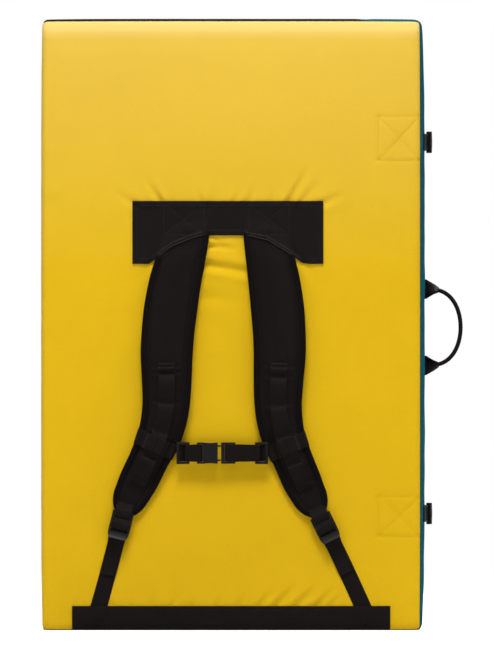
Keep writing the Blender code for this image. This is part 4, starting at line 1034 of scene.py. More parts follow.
def through(table, share, column):
    """Smooth curve through a table's rows, read at a share of its first column."""
    last = len(table) - 1
    index = 0
    while index < last - 1 and share > table[index + 1][0]:
        index += 1
    near, far = table[index], table[index + 1]
    before = table[max(index - 1, 0)]
    after = table[min(index + 2, last)]
    gap = far[0] - near[0]
    local = clamp((share - near[0]) / gap)
    near_slope = (far[column] - before[column]) / (far[0] - before[0]) * gap
    far_slope = (after[column] - near[column]) / (after[0] - near[0]) * gap
    square, cube = local ** 2, local ** 3
    return (near[column] * (2 * cube - 3 * square + 1) + near_slope * (cube - 2 * square + local)
            + far[column] * (3 * square - 2 * cube) + far_slope * (cube - square))


def yoke_edge(x):
    """Height of the yoke patch's lower edge, its corners a little rounded."""
    shares, rises = zip(*YOKE_EDGE_SHARES)
    near = np.asarray(x, float)[..., None] + np.linspace(-YOKE_CORNER, YOKE_CORNER, 5)
    spots = (near - YOKE_LEFT) / (YOKE_RIGHT - YOKE_LEFT)
    return YOKE_LOW + YOKE_ARCH_RISE * np.interp(spots, shares, rises).mean(-1)


class Strap:
    """Plan of one shoulder strap on the front face."""

    def __init__(self, side):
        self.side = side
        self.sign = -1 if side == "left" else 1
        self.column = 1 if side == "left" else 2
        self.tacks = LEFT_TACK_SHARES if side == "left" else RIGHT_TACK_SHARES

    def centre(self, share):
        offset = STRAP_SPREAD * through(STRAP_SHARES, share, self.column)
        return Vector((HARNESS_X + self.sign * offset, STRAP_TOP_Z - STRAP_DROP * share))

    def width(self, share):
        full = STRAP_WIDTH * through(STRAP_SHARES, clamp(share), 3)
        if share <= TIP_START_SHARE:
            return full
        beyond = (share - TIP_START_SHARE) / (1 - TIP_START_SHARE)
        return full * math.sqrt(max(1 - beyond ** 2, TIP_NARROW_SHARE ** 2))

    def inward(self, share):
        share = max(share, 0.0)
        run = self.centre(min(share + COURSE_PROBE, 1)) - self.centre(share - COURSE_PROBE)
        run.normalize()
        return Vector((run.y, -run.x)) * self.sign

    def point(self, share, across):
        return self.centre(share) + self.inward(share) * across * self.width(share) / 2

    def start(self, across):
        """Share at which a line along the strap comes out under the yoke patch."""
        low, high = 0.0, LATEST_START
        for _ in range(30):
            middle = (low + high) / 2
            place = self.point(middle, across)
            if place.y > float(yoke_edge(place.x)) - YOKE_OVERLAP:
                low = middle
            else:
                high = middle
        return high

    def free(self, share):
        """Place across the strap at which the flat edge under the binding ends."""
        return max(1 - (BINDING_JAW + BINDING_MARGIN) / (self.width(share) / 2), 1 / 4)

    def crest(self, share, across, start):
        """Foam thickness, flat under the binding and crowned between."""
        free = self.free(share)
        emerge = float(smoothstep((share - start + EMERGE_LEAD) / EMERGE_RUN)) if start is not None else 1.0
        fade = clamp((CROWN_END_SHARE - share) / (CROWN_END_SHARE - CROWN_FADE_SHARE))
        rise = max(0.0, 1 - (across / free) ** 2) ** CREST_POWER
        return STRAP_EDGE_FOAM + STRAP_CROWN * rise * fade * emerge


STRAPS = {side: Strap(side) for side in ("left", "right")}
START_LINES = [round(line, 2) for line in np.linspace(-1, 1, 9)]
STARTS = {side: [strap.start(line) for line in START_LINES] for side, strap in STRAPS.items()}


def tip_share(turn):
    """Share along a strap's round tip for a share of its quarter turn."""
    return TIP_START_SHARE + (1 - TIP_START_SHARE) * math.sin(math.pi / 2 * turn)


def start_at(strap, across):
    """Share where the strap leaves the yoke patch, read between nine lines."""
    return float(np.interp(across, START_LINES, STARTS[strap.side]))


# Cloth panels
def lines_between(low, high, step, edge):
    """Even values with one more close to each end, for a rounded rim."""
    count = max(2, int(round((high - low) / step)))
    inner = np.linspace(low + edge, high - edge, count)
    return np.concatenate([[low], inner, [high]])


def panel(name, us, vs, place, thick, material, to_uv=None):
    """Closed cloth panel over a grid; place maps u, v and level above the panel's back."""
    rows, columns = len(us), len(vs)
    upper, lower, uvs = [], [], []
    for i, u in enumerate(us):
        for j, v in enumerate(vs):
            rim = i in (0, rows - 1) or j in (0, columns - 1)
            upper.append(place(u, v, thick / 2 if rim else thick))
            if not rim:
                lower.append(place(u, v, 0.0))
            uvs.append(to_uv(u, v) if to_uv else (u, v))
    faces = []
    inner = columns - 2

    def low_number(i, j):
        if i in (0, rows - 1) or j in (0, columns - 1):
            return i * columns + j
        return rows * columns + (i - 1) * inner + j - 1

    for i in range(rows - 1):
        for j in range(columns - 1):
            near = i * columns + j
            faces.append((near, near + 1, near + columns + 1, near + columns))
            faces.append((low_number(i, j), low_number(i + 1, j),
                          low_number(i + 1, j + 1), low_number(i, j + 1)))
    uvs += [uvs[i * columns + j] for i in range(1, rows - 1) for j in range(1, columns - 1)]
    return outward(make_mesh(name, upper + lower, faces, material, uvs=uvs))


def surface_row(place, start, end, step=0.002, level=0.0):
    """Samples of point and normal along a line on the front face or a panel over it."""
    start, end = np.array(start, float), np.array(end, float)
    count = max(2, int(np.hypot(*(end - start)) / step))
    row = []
    for share in np.linspace(0, 1, count + 1):
        u, v = start + (end - start) * share
        row.append(surface_sample(place, u, v, level))
    return row


def surface_sample(place, u, v, level, gap=0.0008):
    """Point and outward normal of a placed surface."""
    here = place(u, v, level)
    across = place(u + gap, v, level) - place(u - gap, v, level)
    along = place(u, v + gap, level) - place(u, v - gap, level)
    normal = across.cross(along).normalized()
    if normal.y > 0:
        normal = -normal
    return here, normal


def cover_place(x, z, level):
    """Point over the front cover."""
    return front_place(x, z, level)[0]


YOKE_BOXES = ((at_pixel(163.8, 203.5), at_pixel(204.5, 234.5)),
              (at_pixel(249.1, 203.5), at_pixel(289.0, 234.5)))
YOKE_BUMPS = (at_pixel(188.0, 226.0), at_pixel(266.6, 227.4))
YOKE_CREASES = (
    ((134.5, 204.5), (157.0, 217.0), 0.0040, 0.0014),
    ((150.0, 262.0), (158.0, 243.0), 0.0040, 0.0012),
    ((162.0, 255.0), (176.0, 232.0), 0.0045, 0.0015),
    ((207.0, 233.0), (196.0, 224.0), 0.0030, 0.0014),
    ((296.0, 253.0), (284.0, 232.0), 0.0045, 0.0015),
    ((304.0, 262.0), (297.0, 244.0), 0.0040, 0.0012),
    ((250.0, 233.0), (259.0, 222.0), 0.0030, 0.0013),
    ((230.0, 234.0), (224.0, 210.0), 0.0045, 0.0009),
)
ARC_SHARES = ((0.130, 0.365), (0.590, 0.875))
YOKE_SWELL = 0.0054
SWELL_IN = 0.80
SWELL_OUT = 0.34
SWELL_FOOT = 0.007
SWELL_RISE = 0.027
YOKE_HEM_RISE = 0.0010
EDGE_STEP = 0.0006
HEM_STEP = 0.0010
YOKE_SEW_SINK = 0.0007
YOKE_BOX_PUFF = 0.0010
ROW_GROOVE = 0.0011
BOX_GROOVE = 0.0016
BUMP_HALF = 0.0080
BUMP_ABOVE = 0.0036
BUMP_BELOW = 0.0150
BUMP_RISE = 0.0040
# Wrinkles: height, then how fast they pass across and up a metre, and a seed
YOKE_WRINKLES = ((0.00045, 28, 40, 5.0), (0.0002, 90, 60, 9.0))
BAND_WRINKLES = ((0.0004, 60, 40, 2.0), (0.00025, 140, 120, 7.0))
BAND_SEW_SINK = 0.0004
BAND_GROOVE = 0.0010
BAND_END_HEM = 0.008
ROW_END = 0.002
ROW_FOOT = 0.004
BAND_SWELL = 0.0020
WEB_LEAN = 0.35
WEB_FLAT = 0.0115
WEB_SLOPE = 0.007
WEB_FOOT = 0.006
WEB_RISE = 0.016


def wrinkled(x, z, wrinkles):
    """Small random height at a place."""
    return sum(height * noise.noise((x * across, z * up, seed)) for height, across, up, seed in wrinkles)


def row_sink(edge, rows, depth, width):
    """Depth of a panel's stitch rows at a distance from its edge."""
    return depth * sum(float(groove(edge - line, width)) for line in rows)


def yoke_swell(x, z):
    """Height of the yoke patch over the face, raised where the strap tops lie under it."""
    swell = 0.0
    for strap in STRAPS.values():
        share = (STRAP_TOP_Z - z) / STRAP_DROP
        centre = strap.centre(clamp(share, -0.1, 0.3))
        half = strap.width(max(share, 0)) / 2
        across = abs(x - centre.x) / half
        beside = 1 - smoothstep((across - SWELL_IN) / SWELL_OUT)
        above = z - float(yoke_edge(x))
        over = 1 - smoothstep((above - SWELL_FOOT) / SWELL_RISE)
        swell += YOKE_SWELL * float(beside * over)
    return swell


def yoke_place(x, z, level):
    """Point on the yoke patch, with its hem, stitched boxes and puckers."""
    edge = min(x - YOKE_LEFT, YOKE_RIGHT - x, YOKE_TOP - z, z - float(yoke_edge(x)))
    relief = YOKE_HEM_RISE * float(1 - smoothstep((edge - YOKE_HEM) / HEM_STEP))
    relief -= row_sink(edge, YOKE_ROWS, YOKE_SEW_SINK, ROW_GROOVE)
    for (left, top), (right, low) in YOKE_BOXES:
        for start, end in box_lines((left, top), (right, low)):
            relief -= YOKE_SEW_SINK * float(groove(to_segment(x, z, start, end), BOX_GROOVE))
        if left < x < right and low < z < top:
            middle = ((left + right) / 2, (top + low) / 2)
            spread = abs(x - middle[0]) / (right - left) * 2, abs(z - middle[1]) / (top - low) * 2
            relief += YOKE_BOX_PUFF * max(0.0, 1 - max(spread)) * abs(spread[0] - spread[1])
    for spot_x, spot_z in YOKE_BUMPS:
        off_x, off_z = (x - spot_x) / BUMP_HALF, (z - spot_z) / (BUMP_ABOVE if z > spot_z else BUMP_BELOW)
        relief += BUMP_RISE * math.exp(-(off_x ** 2 + off_z ** 2) ** 1.5)
    for start, end, width, depth in YOKE_CREASES:
        relief += float(fold_line(np.array(x), np.array(z), at_pixel(*start), at_pixel(*end), width, depth))
    relief += wrinkled(x, z, YOKE_WRINKLES)
    base = Vector(skin(-1, x, z, HALF_DEPTH))
    base.y = min(base.y, front_place(x, z)[0].y)
    over = level + relief if level > 0 else 0
    return base - Vector((0, WEB_GAP + yoke_swell(x, z) + over, 0))


def make_yoke():
    """Yoke patch over the strap tops, with its stitching."""
    us = lines_between(YOKE_LEFT, YOKE_RIGHT, 0.0021, EDGE_STEP)
    shares = lines_between(0.0, 1.0, 0.022, 0.007)

    def place(u, share, level):
        low = float(yoke_edge(u))
        return yoke_place(u, low + (YOKE_TOP - low) * share, level)

    def to_uv(u, share):
        low = float(yoke_edge(u))
        return u, low + (YOKE_TOP - low) * share

    patch = panel("yoke_patch_cloth", us, shares, place, YOKE_THICK, PATCH_CLOTH, to_uv)
    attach(patch, "front_half")
    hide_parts("yoke_patch")
    rows = []
    for (left, top), (right, low) in YOKE_BOXES:
        for start, end in box_lines((left, top), (right, low)):
            rows.append(surface_row(yoke_place, start, end, level=YOKE_THICK))
    for inset in YOKE_ROWS:
        xs = np.linspace(YOKE_LEFT + inset, YOKE_RIGHT - inset, 150)
        rows.append([surface_sample(yoke_place, x, float(yoke_edge(x)) + inset, YOKE_THICK) for x in xs])
        rows.append(surface_row(yoke_place, (YOKE_LEFT + inset, YOKE_TOP - inset),
                                (YOKE_RIGHT - inset, YOKE_TOP - inset), level=YOKE_THICK))
        for x in (YOKE_LEFT + inset, YOKE_RIGHT - inset):
            rows.append(surface_row(yoke_place, (x, YOKE_LOW + inset), (x, YOKE_TOP - inset),
                                    level=YOKE_THICK))
    stitches("yoke_stitches", rows, PATCH_HIGHLIGHT_THREAD, "front_half")
    rows = []
    for inset in YOKE_ARC_ROWS:
        for first, last in ARC_SHARES:
            xs = YOKE_LEFT + (YOKE_RIGHT - YOKE_LEFT) * np.linspace(first, last, 60)
            rows.append([surface_sample(yoke_place, x, float(yoke_edge(x)) + inset, YOKE_THICK) for x in xs])
    # These rows use the pale arc thread, which paints highlights along the arcs
    stitches("yoke_arc_stitches", rows, ARC_HIGHLIGHT_THREAD, "front_half", thread=0.0006, gap=0.10)


def lower_web_swell(x, z):
    """Rise of the bottom band over the two adjuster webbings that run under it."""
    swell = 0.0
    for lock in LOCKS.values():
        foot = lock.anchor.x + (BAND_TOP - z) * WEB_LEAN * (1 if lock.anchor.x > 0 else -1)
        beside = 1 - smoothstep((abs(x - foot) - WEB_FLAT) / WEB_SLOPE)
        swell += BAND_SWELL * float(beside * smoothstep((z - WEB_FOOT) / WEB_RISE))
    return swell


def band_place(x, z, level):
    """Point on the bottom band, with its hems and stitch rows."""
    edge = min(BAND_TOP - z, x - BAND_LEFT, BAND_RIGHT - x)
    end = min(x - BAND_LEFT, BAND_RIGHT - x)
    relief = BAND_SEW_SINK * float(1 - smoothstep((end - BAND_END_HEM) / HEM_STEP))
    relief -= row_sink(edge, BAND_ROWS, BAND_SEW_SINK, BAND_GROOVE)
    relief += wrinkled(x, z, BAND_WRINKLES)
    hit, normal = front_place(x, max(z, BAND_FOOT))
    over = WEB_GAP + lower_web_swell(x, z) + (level + relief if level > 0 else 0)
    return Vector((x, hit.y + normal.y * over, max(min(z, hit.z + normal.z * over), 0.0004)))


def make_band():
    """Band along the pad's foot that holds the adjuster webbings."""
    us = lines_between(BAND_LEFT, BAND_RIGHT, 0.0026, EDGE_STEP)
    vs = lines_between(0.0006, BAND_TOP, 0.0017, EDGE_STEP)
    band = panel("bottom_band_cloth", us, vs, band_place, BAND_THICK, PATCH_CLOTH)
    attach(band, "front_half")
    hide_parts("bottom_band")
    rows = []
    for inset in BAND_ROWS:
        rows.append(surface_row(band_place, (BAND_LEFT + ROW_END, BAND_TOP - inset),
                                (BAND_RIGHT - ROW_END, BAND_TOP - inset), level=BAND_THICK))
        for x in (BAND_LEFT + inset, BAND_RIGHT - inset):
            rows.append(surface_row(band_place, (x, ROW_FOOT), (x, BAND_TOP - inset), level=BAND_THICK))
    stitches("band_stitches", rows, BLACK_THREAD, "front_half")


# Shoulder straps
STRAP_UNDER = 0.030
STITCH_LIFT = 0.0002
CHANNEL_SINK = 0.0011
CHANNEL_LINE = 0.0013
YOKE_SINK = 0.0042
TACK_SINK = 0.0013
TACK_SWELL = 0.0010
BODY_ROWS = 0.94
CHANNEL_SHARES = (0.02, 0.945)
STRAP_BEND = (0.620, 0.545)
STRAP_RIM = 0.985
STRAP_LINES = 43
STRAP_ROWS = 150
SINK_LEAD = 0.029
SINK_RUN = 0.027
TACK_LINE = 0.0021
TACK_BESIDE = 0.0052
SWELL_LINE = 0.0030
LEAST_FOAM = 0.0004
FOAM_LIFT = 0.0006
FOAM_LOW = 0.0008
FACE_SKIN = 0.0014
BINDING_LEAD = 0.012
BINDING_STEP = 0.0024
BINDING_BOW = 1.15
JAW_ROUND = 0.0003
TAPE_ROW_INSET = 0.0017
DAISY_LEAD = 0.012
DAISY_TRAIL = 0.014
LOOP_STEPS = 18
BARTACK_HALF = 0.0012
BARTACK_ZIG = 0.0006
BARTACK_INSET = 0.002
BARTACK_PITCH = 0.0016
BARTACK_THREAD = 0.0005
STRAP_WRINKLES = {"left": ((0.0007, 55, 1.6, 3.0), (0.0003, 150, 5.0, 5.0)),
                  "right": ((0.0007, 55, 1.6, 8.0), (0.0003, 150, 5.0, 10.0))}


def hold_strap(made, body):
    """Bake a strap piece's placement into its mesh."""
    start, end = (Vector((HARNESS_X, -HALF_DEPTH, height)) + ORIGIN for height in STRAP_BEND)
    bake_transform(made)
    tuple(start)
    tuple(end)


def strap_top(strap, share, across):
    """Level of the strap's face fabric."""
    start = start_at(strap, across)
    base = STRAP_EDGE - STRAP_EDGE_FOAM
    level = base + strap.crest(share, across, start)
    off_line = (abs(across) - strap.free(share)) * strap.width(share) / 2
    level -= CHANNEL_SINK * float(groove(off_line, CHANNEL_LINE))
    level -= YOKE_SINK * (1 - float(smoothstep((share - start + SINK_LEAD) / SINK_RUN)))
    along = share * STRAP_DROP
    inner = max(0.0, 1 - abs(across) / strap.free(share))
    coarse, fine = STRAP_WRINKLES[strap.side]
    level += wrinkled(along, across, (coarse,)) * min(1.0, inner * 3) + wrinkled(along, across, (fine,))
    for tack in (DAISY_START_SHARE,) + strap.tacks:
        off = (share - tack) * STRAP_DROP
        if abs(off) < 0.02:
            reach = float(smoothstep(inner * 3.5))
            level -= TACK_SINK * reach * float(groove(off, TACK_LINE))
            level += TACK_SWELL * reach * float(groove(off - TACK_BESIDE, SWELL_LINE))
    return max(level, base + LEAST_FOAM)


def make_strap(strap):
    """Face, foam and back mesh of one strap."""
    side = strap.side
    body = f"{side}_strap"
    lines = np.concatenate([[-1], np.linspace(-STRAP_RIM, STRAP_RIM, STRAP_LINES), [1]])
    row_shares = np.linspace(0, 1, STRAP_ROWS)

    def share_of(row, across):
        start = start_at(strap, across) - STRAP_UNDER
        reach = TIP_START_SHARE - start
        if row < BODY_ROWS:
            return start + reach * row / BODY_ROWS
        return tip_share((row - BODY_ROWS) / (1 - BODY_ROWS))

    def layered(name, low, high, material, node):
        upper, lower, uvs = [], [], []
        for row in row_shares:
            for across in lines:
                share = share_of(row, across)
                spot = strap.point(share, across)
                upper.append(lay(spot.x, spot.y, high(share, across)))
                lower.append(lay(spot.x, spot.y, low(share, across)))
                uvs.append((across * strap.width(share) / 2, share * STRAP_DROP))
        rows, columns = len(row_shares), len(lines)
        count = rows * columns
        faces = []
        for i in range(rows - 1):
            for j in range(columns - 1):
                near = i * columns + j
                far = near + columns
                faces.append((near, near + 1, far + 1, far))
                faces.append((count + near, count + far, count + far + 1, count + near + 1))
        rim = list(range(columns)) + [i * columns + columns - 1 for i in range(1, rows)]
        rim += [(rows - 1) * columns + j for j in range(columns - 2, -1, -1)]
        rim += [i * columns for i in range(rows - 2, 0, -1)]
        for index, start in enumerate(rim):
            end = rim[(index + 1) % len(rim)]
            faces.append((start, count + start, count + end, end))
        made = outward(make_mesh(name, upper + lower, faces, material, uvs=uvs + uvs))
        hold_strap(made, body)
        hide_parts(node)
        return made

    base = STRAP_SKIN + SEAM_GAP
    face = layered(f"{side}_strap_cover", lambda s, u: base,
                   lambda s, u: strap_top(strap, s, u), STRAP_CLOTH, f"{side}_strap_face")
    foam = layered(f"{side}_strap_padding", lambda s, u: base + FOAM_LIFT,
                   lambda s, u: max(base + FOAM_LOW, strap_top(strap, s, u) - FACE_SKIN),
                   FIRM_FOAM, f"{side}_strap_foam")
    back = layered(f"{side}_strap_back", lambda s, u: 0.0, lambda s, u: STRAP_SKIN,
                   AIR_MESH, f"{side}_strap_mesh")
    make_binding(strap)
    make_daisy_chain(strap)
    make_sternum_band(strap)
    rows = []
    for sign in (-1, 1):
        row = []
        for share in np.linspace(*CHANNEL_SHARES, 170):
            across = sign * strap.free(share)
            if share < start_at(strap, across):
                continue
            spot = strap.point(share, across)
            level = strap_top(strap, share, across)
            row.append((lay(spot.x, spot.y, level + STITCH_LIFT), Vector((0, -1, 0))))
        rows.append(row)
    stitches(f"{side}_channel_stitches", rows, BLACK_THREAD, body, hold=hold_strap)


def make_binding(strap):
    """Folded tape round the strap's edge, with its stitch row."""
    body = f"{strap.side}_strap"
    edges = {}
    for across in (-1, 1):
        first = start_at(strap, across) - BINDING_LEAD
        shares = [first + (TIP_START_SHARE - first) * step / 60 for step in range(60)]
        shares += [tip_share(step / 10) for step in range(11)]
        edges[across] = [strap.point(share, across) for share in shares]
    course = smooth_path(edges[-1] + list(reversed(edges[1])), BINDING_STEP)
    outer, inner = [], []
    middle = (STRAP_EDGE + TAPE_GAP) / 2
    half = middle + TAPE_GAP
    for turn in np.linspace(0, math.pi, 9):
        shift = -math.sin(turn)
        outer.append((shift * (TAPE_GAP + BINDING_THICK) * BINDING_BOW,
                      middle - math.cos(turn) * (half + BINDING_THICK)))
        inner.append((shift * TAPE_GAP, middle - math.cos(turn) * half))
    jaw = BINDING_JAW
    profile = [(jaw, outer[0][1])] + outer
    profile += [(jaw, outer[-1][1]), (jaw + JAW_ROUND, (outer[-1][1] + inner[-1][1]) / 2)]
    profile += [(jaw, inner[-1][1])] + list(reversed(inner)) + [(jaw, inner[0][1])]
    points, uvs = [], []
    around = run_along(np.array(profile))
    run_length = 0.0
    insides = []
    for index in range(len(course)):
        run = course[min(index + 2, len(course) - 1)] - course[max(index - 2, 0)]
        run = run / np.hypot(*run)
        insides.append(np.array((-run[1], run[0])) * (1 if strap.side == "left" else -1))
    for index, spot in enumerate(course):
        if index:
            run_length += np.hypot(*(spot - course[index - 1]))
        for (shift, level), reach in zip(profile, around):
            place = spot + insides[index] * shift
            points.append(lay(place[0], place[1], level))
            uvs.append((reach, run_length))
    faces = tube_faces(0, len(course), len(profile))
    tape = outward(make_mesh(f"{strap.side}_edge_tape", points, faces, TAPE, uvs=uvs))
    hold_strap(tape, body)
    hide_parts(f"{strap.side}_strap_binding")
    for label, level, up in (("face", outer[-1][1], -1), ("back", outer[0][1], 1)):
        row = []
        for spot, inside in zip(course, insides):
            place = spot + inside * (jaw - TAPE_ROW_INSET)
            row.append((lay(place[0], place[1], level), Vector((0, up, 0))))
        stitches(f"{strap.side}_tape_{label}_stitches", [row], BLACK_THREAD, body,
                 hold=hold_strap)


def crest_level(strap, share):
    """Level on which webbing lies along the middle of the strap."""
    return STRAP_EDGE - STRAP_EDGE_FOAM + strap.crest(share, 0.0, None) + WEB_GAP / 2


def strap_frames(strap, path):
    """Frames along the strap's middle for (share, level) pairs."""
    frames = []
    places = [lay(*strap.centre(share), level) for share, level in path]
    for index, (share, level) in enumerate(path):
        course = places[min(index + 1, len(path) - 1)] - places[max(index - 1, 0)]
        inside = strap.inward(share)
        near = strap.centre(share) - inside * SIDE_PROBE
        far = strap.centre(share) + inside * SIDE_PROBE
        side = (lay(far.x, far.y, level) - lay(near.x, near.y, level)).normalized()
        up = side.cross(course.normalized()).normalized()
        if up.y > 0:
            up = -up
        frames.append((places[index], side, up))
    return frames


LOOP_LEAN = 0.72
LOOP_FULL = 0.6
LOOP_HIGH = 1.18
LOOP_FALL = 0.36


def loop_rise(share):
    """Height of a daisy chain's loop between two tacks, fullest below the upper one."""
    return max(0.0, math.sin(math.pi * share ** LOOP_LEAN)) ** LOOP_FULL * (LOOP_HIGH - LOOP_FALL * share)


def make_daisy_chain(strap):
    """Webbing tacked down the strap in low loops."""
    body = f"{strap.side}_strap"
    stops = (DAISY_START_SHARE,) + strap.tacks
    half_tack = DAISY_TACK_LENGTH / 2 / STRAP_DROP
    path = [(DAISY_START_SHARE - DAISY_LEAD, 0.0), (DAISY_START_SHARE - half_tack, 0.0)]
    for near, far in zip(stops, stops[1:]):
        start = near + half_tack
        run = far - near - 2 * half_tack
        for step in range(LOOP_STEPS + 1):
            share = step / LOOP_STEPS
            path.append((start + run * share, loop_rise(share)))
    path.append((stops[-1] + half_tack, 0.0))
    path.append((stops[-1] + half_tack + DAISY_TRAIL, 0.0))
    levels = [(share, crest_level(strap, share) + WEBBING / 2 + DAISY_LOOP_RISE * rise)
              for share, rise in path]
    webbing(f"{strap.side}_daisy_webbing", strap_frames(strap, levels), body, f"{strap.side}_daisy_chain")
    rows = []
    for tack in stops:
        for shift in (-BARTACK_HALF, BARTACK_HALF):
            share = tack + shift / STRAP_DROP
            row = []
            for step in range(LOOP_STEPS + 1):
                across = (-1 + 2 * step / LOOP_STEPS) * (WEBBING_WIDTH / 2 - BARTACK_INSET)
                zig = (BARTACK_ZIG if step % 2 else -BARTACK_ZIG) / STRAP_DROP
                spot = strap.centre(share + zig) + strap.inward(share) * across
                level = crest_level(strap, tack) + WEBBING + STITCH_LIFT
                row.append((lay(spot.x, spot.y, level), Vector((0, -1, 0))))
            rows.append(row)
    stitches(f"{strap.side}_daisy_bartacks", rows, BLACK_THREAD, body,
             pitch=BARTACK_PITCH, thread=BARTACK_THREAD, gap=0.1)


DAISY_MARGIN = 0.0012
LOOP_CLEAR = 0.0004
LOOP_SAG = 0.0016
LOOP_STEP = 0.0022
LOOP_PROBE = 0.02


def make_sternum_band(strap):
    """Webbing loop round the strap that carries the sternum strap's slider."""
    share = STERNUM_BAND_SHARES[strap.side]
    half = strap.width(share) / 2
    top = STRAP_EDGE - STRAP_EDGE_FOAM + strap.crest(share, 0, None) + WEBBING * 1.6 + DAISY_LOOP_RISE
    low = -(BINDING_THICK + WEB_GAP + WEBBING / 2)
    edge = half + BINDING_THICK + WEB_GAP + WEBBING / 4
    daisy = WEBBING_WIDTH / 2 + DAISY_MARGIN
    flat = half - BINDING_JAW - BINDING_MARGIN
    over = BINDING_TOP + WEBBING / 2 + LOOP_CLEAR
    right = [(daisy - 0.002, top - 0.0003), (daisy, top - 0.0009),
             ((daisy + flat) / 2, (top + over) / 2 - LOOP_SAG), (flat + 0.001, over), (edge - 0.003, over),
             (edge - 0.0006, over - 0.0022), (edge, (BINDING_TOP + low) / 2),
             (edge - 0.0012, low + 0.0008), (edge - 0.005, low), (0.004, low)]
    ring = [(0.0, top)] + right + [(-x, level) for x, level in reversed(right)] + [(0.0, top)]
    ring = smooth_path(ring, LOOP_STEP)
    inside = strap.inward(share)
    frames = []
    places = [lay(*(strap.centre(share) + inside * across), level) for across, level in ring]
    for index, spot in enumerate(places):
        ahead = places[1 if index == len(places) - 1 else index + 1]
        back = places[index - 1] if index else places[-2]
        course = (ahead - back).normalized()
        across = clamp(ring[index][0] / half, -1)
        down = strap.point(share + LOOP_PROBE, across) - strap.point(share - LOOP_PROBE, across)
        down.normalize()
        side = Vector((down.x, 0, down.y))
        frames.append((spot, side, side.cross(course).normalized()))
    webbing(f"{strap.side}_sternum_loop", frames, f"{strap.side}_strap", f"{strap.side}_sternum_band",
            width=STERNUM_BAND_WIDTH)


# Ladder locks and webbing
LOCK_BAR = 0.0030
LOCK_TOP_BAR = 0.0045
LOCK_STATIONS = (0.0045, 0.0075, 0.0040, 0.0050, 0.0080, 0.0050, 0.0125 / 3, 0.0125 / 3, 0.0125 / 3)
LOCK_LENGTH = sum(LOCK_STATIONS)
SLOT_WIDTH = 0.0288
TIE_REACH = 0.0079
GRIP_REACH = 0.0044
FINE_STEP = 0.0010
STRIP_STEP = 0.0012
# The lock loop's sewn ends: how far below the lock's top, and how far over the strap's edge
TIE_DEPTH = 0.0012
TIE_BACK = ((-0.0150, -0.0016), (-0.0105, -0.0006))
TIE_FRONT = ((-0.0080, 0.0034), (-0.0125, 0.0012), (-0.0150, -0.0003))
BEND_START = 0.002
BEND_PAST = 0.001
LOCK_LEVEL = BINDING_TOP + WEB_GAP + WEBBING + WEB_GAP
# Each lock's top, tilt in degrees, the webbing's x at the bottom band and the loose end's height
LOCK_PLANS = {"left": ((-0.1800, 0.1950), 14, -0.2206, 0.0910),
              "right": ((0.1412, 0.1890), 26, 0.2115, 0.0950)}


def turn_round(centre_run, centre_level, radius, start_deg, end_deg, steps=6, reach=None):
    """Points of a strip's turn round a bar, as far out along the run as reach says."""
    angles = [math.radians(start_deg + (end_deg - start_deg) * step / steps) for step in range(steps + 1)]
    return [(centre_run + (reach or radius) * math.cos(angle), centre_level + radius * math.sin(angle))
            for angle in angles]


class LockPlace:
    """Place of one ladder lock: runs go down from its top bar towards the bottom band."""

    def __init__(self, side):
        (x, z), tilt, anchor_x, self.tail_z = LOCK_PLANS[side]
        self.top = Vector((x, z))
        sign = -1 if side == "left" else 1
        self.down = Vector((sign * math.sin(math.radians(tilt)), -math.cos(math.radians(tilt))))
        self.anchor = Vector((anchor_x, BAND_TOP))
        self.length = (self.anchor - self.top).length

    def __call__(self, run, side, level):
        course = self.top + self.down * run
        across = Vector((-self.down.y, self.down.x))
        pull = clamp((run - LOCK_LENGTH) / (self.length - LOCK_LENGTH), 0, 1.2) ** 2
        course += (self.anchor - self.top - self.down * self.length) * pull
        return lay(*(course + across * side), level)


LOCKS = {side: LockPlace(side) for side in LOCK_PLANS}


